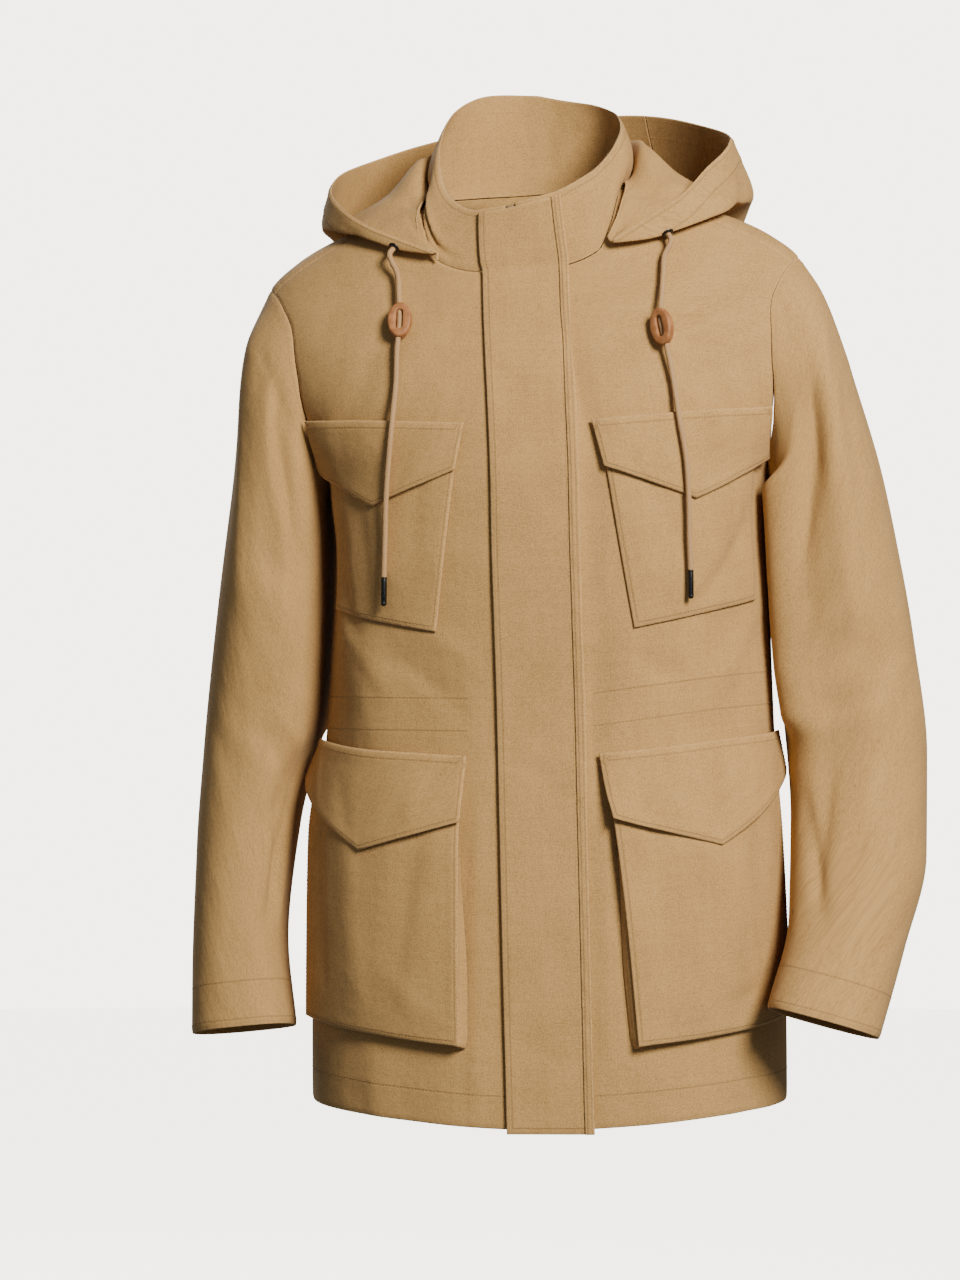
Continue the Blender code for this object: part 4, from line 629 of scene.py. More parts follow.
def crossing(points, normals, field, others=(), axis=0):
    # the line where a field passes 0 along one way of the grid, kept where every other field is above 0
    if axis:
        points, normals, field = (np.swapaxes(k, 0, 1) for k in (points, normals, field))
        others = [np.swapaxes(k, 0, 1) for k in others]
    change = (field[:-1] * field[1:] <= 0) & (field[:-1] != field[1:])
    c = np.nonzero(change.any(0))[0]
    i = change.argmax(0)[c]
    t = field[i, c] / (field[i, c] - field[i + 1, c])
    keep = np.ones(len(c), bool)
    for other in others:
        keep &= other[i, c] * (1 - t) + other[i + 1, c] * t > -1e-4
    i, c, t = i[keep], c[keep], t[keep][:, None]
    return points[i, c] * (1 - t) + points[i + 1, c] * t, normals[i, c] * (1 - t) + normals[i + 1, c] * t


def sideEdge(s, aroundEnd, front):
    # s 0 to 1 up the side seam, to 2 round the armhole to its front or back, to 3 on to the shoulder seam
    start, middle = (0.0, body["armFront"]) if front else (360.0, body["armBack"])
    around = start + (middle - start) * np.clip(s - 1, 0, 1) + (aroundEnd - middle) * np.clip(s - 2, 0, 1)
    angle, z = armhole(around)
    low = s < 1
    side = 90.0 - body["sideGap"] if front else 90.0 + body["sideGap"]
    return np.where(low, side, angle), np.where(low, body["hem"] + (body["underarm"] - body["hem"]) * s, z)


def centreEdge(s, topZ, neckEnd, back=False):
    # s 0 to 2 up the centre line, to 3 along the neckline
    close = body["closeBelowNeck"]
    z = body["hem"] + (topZ - close - body["hem"]) * np.clip(s, 0, 1) + close * np.clip(s - 1, 0, 1)
    angle = np.full(len(s), 180.0) if back else np.degrees(body["zipGap"] / section(z, "front"))
    start = angle[-1]
    angle = np.where(s > 2, start + (neckEnd - start) * (s - 2), angle)
    return angle, np.where(s > 2, neckHeight(angle), z)


def hemShape(angle, z):  # the front of the hem hangs lower than its sides
    drop = body["frontDrop"] * np.cos(np.radians(np.clip(np.abs(angle), 0, 90))) ** 2
    return z - drop * ease((body["dropFrom"] - z) / body["dropOver"])


def waistMiddle(angle):  # the waist channel rises towards the sides, more on the wearer's left
    a = np.where(angle > 180, angle - 360, angle)
    side = np.where(a > 0, *body["waistSides"])
    behind = side + (body["waistBack"] - side) * ease((np.abs(a) - 90) / 60)
    return body["waistMiddle"] + np.where(np.abs(a) < 90, side * ease(np.abs(a) / 80), behind)


def beyondChannel(angle, z):  # how far a point is beyond the waist channel's end, in metres
    if np.abs(angle).max() > 91:
        return 0 * angle + 1
    end = angleAt(np.where(angle < 0, -1, 1) * body["waistEnd"], z)
    return (np.abs(angle) - np.abs(end)) * 0.0023


def bodyPiece(name, node, grids, made):
    outer, inner, edges, lines, sewing = [], [], [], [], []
    for (angle, z), sides in grids:
        p, n = torso(angle, z)
        u, v, edge, roll = rolledEdge(p, sides, body["seamRoll"], body["rollWidth"])
        channel = np.abs(z - waistMiddle(angle)) - body["waistHalf"]
        beyond = beyondChannel(angle, z)
        channel = np.where(beyond < 0, 1.0, channel)
        hem = v - body["hemStitch"]
        outer.append(p + n * roll[..., None])
        inner.append(p + n * (roll * 0.2 - body["wall"])[..., None])
        edges.append(edge)
        lines.append(np.minimum(channel, hem))
        for half in (-1, 1):
            row = z - waistMiddle(angle) - half * body["waistHalf"]
            sewing.append(crossing(outer[-1], n, row, [beyond]))
        sewing.append(crossing(outer[-1], n, hem))
        if name != "backPanel":  # the ends of the channel; the back has its neck seam instead
            within = body["waistHalf"] - np.abs(z - waistMiddle(angle))
            sewing.append(crossing(outer[-1], n, beyond, [within], 1))
        else:
            sewing.append(crossing(outer[-1], n, v[-1:] - v - body["neckStitch"]))
    return clothPiece(name, node, outer, inner, edges, lines, made), sewing


def makeBody(made):
    # rows up the panel: 0 to 1 below the underarm, 1 to 2 beside the armhole, 2 to 3 along neck and shoulder
    s = np.concatenate([
        [0, 0.0022, 0.005, 0.009], np.linspace(0.015, 0.99, 112), np.linspace(1, 2, 36),
        np.linspace(2.035, 2.955, 27), [2.972, 2.986, 2.995, 3],
    ])
    across = closeEnds(66, 0.28)
    pieces, sewing = {}, []

    def between(low, high, share):  # the angles and heights of a grid that runs from one edge to the other
        return (a[:, None] + (b - a)[:, None] * share for a, b in zip(low, high))

    low = centreEdge(s, body["neckline"]["z"][0], body["neckPoint"])
    angle, z = between(low, sideEdge(s, body["shoulderSeam"], True), across)
    z = hemShape(angle, z)
    for name, node, grid in (
        ("frontLeft", "front_left", (angle, z)), ("frontRight", "front_right", (-angle[:, ::-1], z[:, ::-1])),
    ):
        pieces[name], rows = bodyPiece(name, node, [(grid, "lrbt")], made)
        sewing += rows
    gap = body["shoulderGap"]
    low = centreEdge(s, body["neckline"]["z"][-1], body["neckPoint"] + gap, True)
    angle, z = between(low, sideEdge(s, body["shoulderSeam"] + gap, False), across[::-1])
    grids = [((angle, z), "lbt"), ((360 - angle[:, ::-1], z[:, ::-1]), "rbt")]
    pieces["backPanel"], rows = bodyPiece("backPanel", "back", grids, made)
    print("body made")
    return pieces, sewing + rows


sleeve = {
    "armGap": 0.0001, "innerSquare": 2.7, "outerSquare": 2.15, "girth": 0.38, "length": 0.62,
    "cuffStitch": 0.006, "cuffBand": 0.038, "capStitch": 0.005, "creaseDepth": 1.4, "foldsFrom": 0.08,
    "left": table(
        "share outerX outerZ innerX innerZ midY depth frontUp",
        (0.07, 0.246, -0.088, 0.19, -0.244, 0.002, 0.0735, 0.0),
        (0.16, 0.261, -0.136, 0.1908, -0.256, 0.002, 0.0765, 0.0),
        (0.28, 0.277, -0.2, 0.1912, -0.282, 0.003, 0.078, 0.0),
        (0.4, 0.2965, -0.29, 0.1915, -0.33, 0.005, 0.077, 0.0),
        (0.52, 0.312, -0.38, 0.1945, -0.395, 0.008, 0.074, 0.0),
        (0.64, 0.323, -0.475, 0.202, -0.455, 0.004, 0.071, 0.004),
        (0.76, 0.3225, -0.56, 0.2075, -0.53, -0.018, 0.066, 0.005),
        (0.88, 0.304, -0.635, 0.207, -0.608, -0.054, 0.059, 0.007),
        (1.0, 0.2835, -0.705, 0.19, -0.68, -0.093, 0.052, 0.008),
    ),
    "right": table(
        "share outerX outerZ innerX innerZ midY depth frontUp",
        (0.07, 0.2435, -0.088, 0.19, -0.244, 0.002, 0.0735, 0.0),
        (0.16, 0.258, -0.136, 0.1908, -0.256, 0.001, 0.0765, 0.0),
        (0.28, 0.2685, -0.2, 0.1912, -0.282, 0.001, 0.078, 0.0),
        (0.4, 0.2805, -0.285, 0.1915, -0.33, 0.001, 0.076, 0.0),
        (0.52, 0.2915, -0.375, 0.194, -0.395, 0.002, 0.071, 0.0),
        (0.64, 0.3, -0.46, 0.2005, -0.45, 0.003, 0.066, 0.002),
        (0.76, 0.305, -0.545, 0.217, -0.52, -0.004, 0.061, 0.005),
        (0.88, 0.306, -0.63, 0.226, -0.615, -0.018, 0.0565, 0.007),
        (1.0, 0.3045, -0.708, 0.216, -0.699, -0.034, 0.052, 0.007),
    ),
    # around is 0 at the underarm, 90 in front, 180 outside, 270 behind
    "foldsLeft": foldTable(
        (100, 0.14, 76, 0.44, -0.0065, 0.018),
        (122, 0.12, 98, 0.46, 0.005, 0.02),
        (44, 0.17, 47, 0.61, 0.0145, 0.021),
        (100, 0.53, 78, 0.58, -0.004, 0.022),
        (78, 0.64, 55, 0.86, -0.0045, 0.024),
        (235, 0.62, 300, 0.7, -0.005, 0.024),
        (240, 0.74, 310, 0.64, 0.004, 0.024),
        (250, 0.16, 280, 0.44, -0.0045, 0.026),
    ),
    "foldsRight": foldTable(
        (116, 0.08, 84, 0.38, -0.005, 0.022),
        (140, 0.1, 106, 0.42, 0.004, 0.026),
        (325, 0.24, 318, 0.6, 0.0095, 0.022),
        (66, 0.54, 95, 0.6, -0.0035, 0.022),
        (20, 0.68, 60, 0.76, -0.0045, 0.024),
        (235, 0.6, 300, 0.66, -0.0045, 0.024),
        (240, 0.72, 310, 0.62, 0.0035, 0.024),
        (250, 0.16, 280, 0.44, -0.0045, 0.026),
    ),
    "creasesLeft": foldTable(
        (102, 0.13, 58, 0.42, -0.0036, 0.011, -0.005, 0.4),
        (114, 0.12, 72, 0.45, 0.0026, 0.011, -0.005, -0.3),
        (132, 0.2, 104, 0.48, -0.0018, 0.013, -0.004, 0.3),
        (46, 0.73, 74, 0.87, -0.0026, 0.01, 0.003, 0.3),
        (74, 0.46, 58, 0.54, -0.002, 0.009, 0.003, 0.3),
        (88, 0.54, 62, 0.6, 0.002, 0.009, 0.002, 0.2),
        (120, 0.57, 70, 0.62, -0.002, 0.009, 0.004, 0.3),
        (150, 0.52, 110, 0.56, -0.0016, 0.01, 0.003, 0.2),
        (80, 0.66, 66, 0.84, -0.0022, 0.009, 0.004, 0.4),
        (104, 0.72, 92, 0.9, 0.0016, 0.01, -0.003, 0.2),
        (212, 0.6, 262, 0.66, -0.0026, 0.009, 0.004, 0.3),
        (222, 0.66, 276, 0.68, 0.0022, 0.009, 0.003, 0.2),
        (228, 0.54, 282, 0.58, -0.002, 0.01, -0.003, 0.2),
        (262, 0.2, 300, 0.4, -0.0026, 0.01, 0.005, 0.3),
        (240, 0.78, 262, 0.93, -0.002, 0.01, 0.003, 0.3),
        (176, 0.2, 168, 0.42, -0.0014, 0.012, 0.004, 0.0),
        (330, 0.3, 336, 0.52, 0.0018, 0.01, 0.002, 0.2),
    ),
    "creasesRight": foldTable(
        (96, 0.06, 56, 0.38, -0.0032, 0.011, -0.005, 0.4),
        (110, 0.06, 70, 0.4, 0.0024, 0.011, -0.005, -0.3),
        (136, 0.12, 100, 0.44, -0.0018, 0.013, -0.004, 0.3),
        (22, 0.7, 50, 0.87, -0.0022, 0.01, 0.003, 0.3),
        (66, 0.4, 56, 0.52, -0.0018, 0.01, 0.003, 0.3),
        (70, 0.6, 30, 0.66, 0.0018, 0.009, -0.003, 0.2),
        (84, 0.63, 28, 0.72, -0.0024, 0.009, -0.004, 0.4),
        (50, 0.74, 40, 0.86, -0.0022, 0.009, 0.004, 0.4),
        (28, 0.76, 22, 0.88, 0.0018, 0.008, 0.002, 0.2),
        (130, 0.62, 96, 0.7, -0.0014, 0.011, 0.003, 0.2),
        (210, 0.58, 268, 0.62, -0.0024, 0.009, 0.004, 0.3),
        (218, 0.63, 272, 0.66, 0.002, 0.009, 0.003, 0.2),
        (230, 0.7, 286, 0.66, -0.0018, 0.009, -0.003, 0.2),
        (258, 0.18, 296, 0.42, -0.0026, 0.01, 0.005, 0.3),
        (246, 0.8, 256, 0.94, -0.0018, 0.01, 0.003, 0.3),
        (184, 0.16, 190, 0.4, -0.0014, 0.012, 0.004, 0.0),
        (326, 0.32, 334, 0.54, 0.0018, 0.01, 0.002, 0.2),
    ),
}


def sleeveSurface(word, around, share):
    # lengthwise cubics through the armhole's edge and superellipse rings, moved in by the folds
    side = 1 if word == "left" else -1
    rings = sleeve[word]
    angle, z = armhole(around)
    start = torsoForm(angle * side, z, False)
    start[:, 0] = start[:, 0] * side + sleeve["armGap"]
    a = np.radians(around)
    square = np.where(np.cos(a) > 0, 2 / sleeve["innerSquare"], 2 / sleeve["outerSquare"])
    outward = (-np.sign(np.cos(a)) * np.abs(np.cos(a)) ** square)[None]
    forward = (np.sign(np.sin(a)) * np.abs(np.sin(a)) ** square)[None]
    ring = {k: rings[k][:, None] for k in rings}
    x = (ring["outerX"] + ring["innerX"]) / 2 + (ring["outerX"] - ring["innerX"]) / 2 * outward
    level = (ring["outerZ"] + ring["innerZ"]) / 2 + (ring["outerZ"] - ring["innerZ"]) / 2 * outward
    level = level + ring["frontUp"] * forward
    stations = np.stack([x, ring["midY"] - ring["depth"] * forward, level], -1)
    stations = np.concatenate([start[None], stations])
    grid = smooth(share, np.concatenate([[0], rings["share"]]), stations)
    turn, part = np.broadcast_arrays(around[None, :], share[:, None])
    scale = (sleeve["girth"] / 360, sleeve["length"])
    fold = foldsAround(turn, part, sleeve["folds" + word.title()], *scale)
    finer = foldsAround(turn, part, sleeve["creases" + word.title()], *scale, body["creaseFade"])
    fold = (fold + finer * sleeve["creaseDepth"]) * ease(part / sleeve["foldsFrom"])
    grid -= gridNormals(grid, True) * fold[..., None]
    grid[..., 0] *= side
    return posed(grid)


def makeSleeves(made):
    low, high = [0, 0.0018, 0.0042, 0.008, 0.013], [0.99, 0.9935, 0.9968, 0.9987, 1]
    share = np.concatenate([low, np.linspace(0.02, 0.986, 122), high])
    around = np.linspace(0, 360, 97)[:-1]
    pieces, sewing = {}, []
    for word, step in (("left", -1), ("right", 1)):
        grid = sleeveSurface(word, around, share)[:, ::step]
        normal = gridNormals(grid, True)
        grid, normal = (np.concatenate([k, k[:, :1]], 1) for k in (grid, normal))
        u, v, edge, roll = rolledEdge(grid, "bt", body["seamRoll"], body["rollWidth"])
        outer = grid + normal * (roll * np.where(v < 0.1, 0.6, 1.0))[..., None]  # rolled less at the armhole
        inner = grid + normal * (roll * 0.2 - body["wall"])[..., None]
        toCuff = v[-1:] - v
        middle = (sleeve["cuffStitch"] + sleeve["cuffBand"]) / 2
        lines = np.abs(toCuff - middle) - (sleeve["cuffBand"] - sleeve["cuffStitch"]) / 2
        name, node = "sleeve" + word.title(), "sleeve_" + word
        pieces[name] = clothPiece(name, node, [outer], [inner], [edge], [lines], made, 0.37)
        for level in (sleeve["cuffStitch"], sleeve["cuffBand"]):
            sewing.append(crossing(outer, normal, toCuff - level))
        sewing.append(crossing(outer, normal, v - sleeve["capStitch"]))
    print("sleeves made")
    return pieces, sewing


collar = {
    "seam": 0.0006, "twist": 0.0065, "bulge": 0.0075,
    "topStitch": 0.006, "seamStitch": 0.004, "stitchFrom": 0.02,
    "top": table(
        "turn radius z",
        (0, 0.079, -0.002), (22, 0.082, -0.0005), (45, 0.0845, 0.0135), (60, 0.083, 0.031),
        (75, 0.081, 0.051), (90, 0.0785, 0.0655), (115, 0.077, 0.087), (145, 0.0755, 0.101),
        (180, 0.074, 0.106),
    ),
    "creases": foldTable(
        (-70, 0.034, -37, 0.012, -0.003, 0.0055, 0.002, 0.3),
        (-62, 0.046, -38, 0.024, 0.002, 0.006, 0.002, 0.2),
        (-84, 0.075, -66, 0.03, -0.0018, 0.007, 0.003, 0.2),
        (58, 0.07, 40, 0.01, -0.0016, 0.008, -0.003, 0.3),
        (72, 0.07, 66, 0.02, 0.0014, 0.008, 0.002, 0.2),
        (118, 0.08, 132, 0.02, -0.0016, 0.01, 0.003, 0.2),
        (-124, 0.08, -112, 0.018, -0.0016, 0.01, 0.003, 0.2),
        (168, 0.085, 172, 0.015, 0.0012, 0.012, 0.002, 0.2),
    ),
}


def collarPoint(turn, up, lift=0.0, creased=False):
    # straight from its seam (up 0) to its top edge (up 1), swelling outwards at the sides
    turn, up = np.broadcast_arrays(np.asarray(turn, float), np.asarray(up, float))
    low = torsoForm(turn, neckHeight(turn), False)
    low[..., 2] += collar["seam"]
    t = np.radians(slid(turn, 0 * turn))
    radius = smooth(np.abs(turn), collar["top"]["turn"], collar["top"]["radius"])
    highZ = smooth(np.abs(turn), collar["top"]["turn"], collar["top"]["z"]) + collar["twist"] * np.sin(2 * t)
    high = np.stack([radius * np.sin(t), -radius * np.cos(t), highZ], -1)
    out = np.stack([np.sin(t), -np.cos(t), 0 * t], -1)
    swell = collar["bulge"] * 4 * up * (1 - up) * np.sin(t) ** 2 + np.asarray(lift)
    if creased:
        fold = foldsAt(turn, up * 0.09, collar["creases"], 0.0014, 1.0, body["creaseFade"])
        swell = swell + fold * ease(up / 0.1) * ease((1 - up) / 0.1)
    up = up[..., None]
    return posed(low * (1 - up) + high * up + out * swell[..., None])


def makeCollar(made):
    start = math.degrees(body["zipGap"] / 0.083)  # beside the zip, on the collar's radius in front
    turn = start + (360 - 2 * start) * closeEnds(130, 0.54)
    turn = np.where(turn > 180, turn - 360, turn)[None]
    up = closeEnds(30, 0.085)[:, None]
    outer, inner = collarPoint(turn, up, 0.0, True), collarPoint(turn, up, -body["wall"], True)
    u, v, edge, roll = rolledEdge(outer)
    normal = gridNormals(outer)
    outer = outer + normal * roll[..., None]
    top, near = v[-1:] - v - collar["topStitch"], u - collar["stitchFrom"]
    piece = clothPiece("standCollar", "collar", [outer], [inner], [edge], [top], made)
    print("collar made")
    rows = [crossing(outer, normal, top, [near, u[:, -1:] - u - collar["stitchFrom"]])]
    return piece, rows + [crossing(outer, normal, v - collar["seamStitch"], [near])]


hood = {
    "sections": table(
        "turn seamUp ridgeR ridgeZ floorR floorZ bulgeR bulgeZ brimR brimZ leftUp leftLow",
        (42, 0.003, 0.1105, -0.0425, 0.112, -0.042, 0.1135, -0.0425, 0.114, -0.04, 0.0, 0.0),
        (54, 0.003, 0.1085, -0.023, 0.1155, -0.026, 0.127, -0.037, 0.1265, -0.028, 0.004, 0.003),
        (66, 0.0035, 0.1048, -0.001, 0.121, -0.009, 0.147, -0.024, 0.146, -0.013, 0.009, 0.006),
        (78, 0.004, 0.0989, 0.0235, 0.123, 0.009, 0.166, -0.014, 0.164, 0.0065, 0.018, 0.005),
        (90, 0.004, 0.096, 0.0425, 0.127, 0.015, 0.1805, -0.008, 0.175, 0.027, 0.018, 0.0),
        (103, 0.004, 0.0942, 0.052, 0.138, -0.02, 0.188, -0.008, 0.1765, 0.044, 0.012, -0.005),
        (120, 0.004, 0.09, 0.054, 0.144, -0.076, 0.193, -0.028, 0.1715, 0.06, 0.011, -0.005),
        (140, 0.004, 0.088, 0.043, 0.148, -0.118, 0.197, -0.05, 0.165, 0.077, 0.01, -0.004),
        (160, 0.004, 0.086, 0.033, 0.15, -0.139, 0.2005, -0.063, 0.16, 0.089, 0.005, -0.002),
        (180, 0.004, 0.085, 0.029, 0.15, -0.145, 0.201, -0.068, 0.158, 0.093, 0.0, 0.0),
    ),
    "centreHalf": 146.0, "wall": 0.0016, "seamGap": 0.002, "seamOut": 0.0045, "clear": 0.003, "soft": 0.005,
    "casing": 0.021, "casingRise": 0.0007, "casingStitch": 0.0194, "brimStitch": 0.0035,
    "creases": foldTable(
        (-60, 0.1, -84, 0.62, 0.0026, 0.011, 0.004, 0.2),
        (-70, 0.3, -92, 0.8, -0.003, 0.01, 0.004, 0.3),
        (-100, 0.16, -112, 0.6, 0.0026, 0.012, -0.004, 0.2),
        (-58, 0.42, -72, 0.88, -0.0016, 0.009, 0.002, 0.2),
        (60, 0.12, 82, 0.6, 0.0024, 0.011, 0.004, 0.2),
        (72, 0.34, 90, 0.82, -0.003, 0.01, -0.004, 0.3),
        (98, 0.18, 114, 0.66, 0.0026, 0.012, 0.004, 0.2),
        (128, 0.5, 150, 0.84, -0.003, 0.014, 0.006, 0.2),
        (-132, 0.52, -158, 0.86, -0.0034, 0.014, 0.006, 0.2),
        (170, 0.46, 176, 0.86, 0.003, 0.016, 0.004, 0.0),
        (116, 0.68, 168, 0.72, 0.003, 0.014, 0.004, 0.2),
        (-122, 0.66, -176, 0.76, 0.003, 0.014, -0.004, 0.2),
    ),
}


def shoulderHeight(x, y):  # the height of the torso's upper side above a place in plan, found by halving
    low, high = np.full(np.shape(x), -0.115), np.full(np.shape(x), 0.018)
    for _ in range(24):
        z = (low + high) / 2
        power, deep = section(z, "power"), np.where(y < 0, section(z, "front"), section(z, "back"))
        inside = (np.abs(x) / section(z, "width")) ** power + (np.abs(y) / deep) ** power < 1
        low, high = np.where(inside, z, low), np.where(inside, high, z)
    return low


def hoodGrid(turns, share):
    # each row runs from the hood's seam over ridge, floor and bulge to its brim as one rounded curve,
    # and comes to lie softly on the shoulders
    side, turn = np.sign(turns), np.abs(turns)
    sections = hood["sections"]
    allRound = np.linspace(-179.5, 179.5, 240)
    seam = torsoForm(allRound, neckHeight(allRound), False)
    bearing = np.degrees(np.arctan2(seam[:, 0], -seam[:, 1]))
    seamR = np.interp(turns, bearing, np.hypot(seam[:, 0], seam[:, 1])) + hood["seamOut"]
    seamZ = np.interp(turns, bearing, seam[:, 2])
    left = np.clip(side, 0, 1)
    at = {k: smooth(turn, sections["turn"], sections[k]) for k in sections if k != "turn"}
    extra, lower = at["leftUp"] * left, at["leftLow"] * left
    radii = np.stack([
        seamR + 0.001 * ease((72 - turn) / 15), at["ridgeR"], at["floorR"], at["bulgeR"] + np.abs(lower),
        at["brimR"] - extra * 0.2,
    ], 1)
    levels = np.stack([
        seamZ + at["seamUp"], at["ridgeZ"] + extra * 0.1, at["floorZ"] + extra * 0.25, at["bulgeZ"] - lower,
        at["brimZ"] + extra,
    ], 1)
    run = np.cumsum(np.hypot(np.diff(radii), np.diff(levels)) ** 0.7, axis=1)
    run = np.concatenate([np.zeros((len(run), 1)), run], 1)
    at = share[None] * run[:, -1:]
    r, level = rounded(at, run, radii), rounded(at, run, levels)
    fan = np.radians(turn)[:, None]
    x, y = r * np.sin(fan), -r * np.cos(fan)
    clear = (hood["clear"] * (1 + ease((70 - turn) / 20)))[:, None]
    least = shoulderHeight(x, y) + clear + 0.0015 * ease(share / 0.5)[None]
    soft = hood["soft"] * ease(share / 0.2)[None]
    level = (level + least + np.sqrt((level - least) ** 2 + soft**2)) / 2
    return posed(np.stack([x * side[:, None], y, level], -1))


def makeHood(made):
    cut, gap = hood["centreHalf"], hood["seamGap"]
    share = closeEnds(84, 0.34)
    ranges = {
        "hoodRight": ("hood_right", -42 - (cut - gap - 42) * closeEnds(56, 0.22)),
        "hoodCentre": ("hood_centre", -cut - gap - (2 * (180 - cut) - 2 * gap) * closeEnds(40, 0.19)),
        "hoodLeft": ("hood_left", cut - gap - (cut - gap - 42) * closeEnds(56, 0.22)),
    }
    pieces, sewing = {}, []
    for name, (node, turns) in ranges.items():
        turns = np.where(turns < -180, turns + 360, turns)
        grid = hoodGrid(turns, share)
        normal = gridNormals(grid)
        u, v, edge, roll = rolledEdge(grid)
        fold = foldsAround(turns[:, None], share[None], hood["creases"], 0.0026, 0.34, body["creaseFade"])
        fold = fold * ease(share / 0.15)[None] * ease((1 - share) / 0.1)[None]
        toBrim = u[:, -1:] - u
        band = hood["casingRise"] * (1 - ease((toBrim - hood["casing"]) / 0.0022)) * ease(toBrim / 0.003)
        outer = grid + normal * (fold + roll + band)[..., None]
        inner = grid + normal * (fold - hood["wall"] + roll * 0.2)[..., None]
        middle, half = (hood["casing"] + hood["brimStitch"]) / 2, (hood["casing"] - hood["brimStitch"]) / 2
        lines = np.abs(toBrim - middle) - half
        pieces[name] = clothPiece(name, node, [outer], [inner], [edge], [lines], made, 0.61)
        for level in (hood["casingStitch"], hood["brimStitch"]):
            sewing.append(crossing(outer, normal, toBrim - level, [], 1))
            sewing.append(crossing(inner, -normal, toBrim - level, [], 1))
    print("hood made")
    return pieces, sewing


# placket, its strip, and the zip
front = {
    "middle": 0.0075, "half": 0.0363, "topUp": 0.94, "low": 0.003, "strip": 0.008, "stands": 0.0012,
    "layGap": 0.001, "seamGap": 0.0004, "stripWall": 0.0014,
    "standing": table("share rise", (0, 0.9), (0.25, 0.6), (0.5, 0.4), (0.75, 0.3), (1, 0.3)),
    # where the free edge stands off more: height, and how far
    "edgeLift": table(
        "z rise", (-0.79, 0.0004), (-0.7, 0.0008), (-0.56, 0.0009), (-0.4, 0.0005), (-0.27, 0.0001),
        (-0.12, 0.0003), (-0.05, 0.0),
    ),
    "creases": foldTable(
        (0.005, -0.12, 0.058, -0.132, -0.0005, 0.006, 0.001, 0.2),
        (0.072, -0.215, 0.04, -0.238, 0.0006, 0.007, 0.001, 0.2),
        (0.0, -0.352, 0.04, -0.34, -0.0006, 0.007, 0.002, 0.3),
        (0.072, -0.418, 0.03, -0.436, 0.0007, 0.007, -0.001, 0.2),
        (0.0, -0.47, 0.05, -0.492, -0.0006, 0.008, 0.002, 0.2),
        (0.03, -0.6, 0.036, -0.76, 0.0006, 0.008, 0.002, 0.2),
        (0.008, -0.7, 0.044, -0.722, -0.0005, 0.007, 0.001, 0.2),
    ),
    "edgeStitch": 0.0045, "lowStitch": 0.006, "sewnStitch": 0.0105, "stripStitch": 0.002,
    "tapeHalf": 0.014, "tapeTop": 0.985, "tapeUp": 0.004, "tapeWall": 0.001,
    "chainHalf": 0.0028, "chainRise": 0.0021, "toothPitch": 0.0026, "chainDown": 0.03, "chainUp": 0.004,
    # a tooth: its place off the middle, reach either way, width and height, and its layers' depth and size
    "toothOff": 0.0003, "toothEnds": (-0.35, 0.9), "toothWide": 0.002, "toothHigh": 0.00052,
    "toothLayers": ((-0.0009, 1.0), (0.0006, 1.0), (0.0009, 0.72)),
    "stripDome": 0.0005, "stripRipple": 0.0003,
}


def stripSurface(offsets, liftAt, topUp, low, rows=150, creased=True):
    # rows up the body, then up the collar, with a smooth run between the two; offsets from centre front
    top = body["neckline"]["z"][0]
    heights = np.concatenate([low + edgeLines, np.linspace(low + evenFrom, top + 0.001, rows)])[:, None]
    surface, normal = torso(angleAt(offsets[None], heights), heights, creased)
    onCoat = surface + normal * liftAt(offsets[None], heights)[..., None]
    up = np.linspace(0.16, topUp - 0.14, 10)
    up = np.concatenate([up, topUp - np.array([0.09, 0.05, 0.025, 0.01, 0])])[:, None]
    onCollar = collarPoint(angleAt(offsets, top)[None], up, liftAt(offsets[None], up * 0 + top))
    a, b = onCoat[-1], onCollar[0]
    reach = np.linalg.norm(b - a, axis=-1, keepdims=True)
    slopeA, slopeB = unit(a - onCoat[-2]) * reach, unit(onCollar[1] - b) * reach
    t = np.array([0.25, 0.5, 0.75])[:, None, None]
    between = a * (1 + 2 * t) * (1 - t) ** 2 + b * t * t * (3 - 2 * t)
    between += slopeA * t * (1 - t) ** 2 - slopeB * t * t * (1 - t)
    return np.concatenate([onCoat, between, onCollar])


def stripPiece(name, node, across, lift, wall, rows, roll, edgeWidth, made, shift, lineAt):
    # a strip over the front and the collar: its outer face, rolled in at the edges, and one a wall behind it
    low = body["hem"] - body["frontDrop"] - front["low"]
    outer = stripSurface(across, lift, front["topUp"], low, rows)
    inner = stripSurface(across, lambda offset, z: lift(offset, z) - wall, front["topUp"], low, rows)
    normal = gridNormals(outer)
    u, v, edge, rolled = rolledEdge(outer, "lrbt", roll, edgeWidth)
    outer = outer + normal * rolled[..., None]
    piece = clothPiece(name, node, [outer], [inner], [edge], [lineAt(u, v)], made, shift)
    return piece, outer, normal, u, v


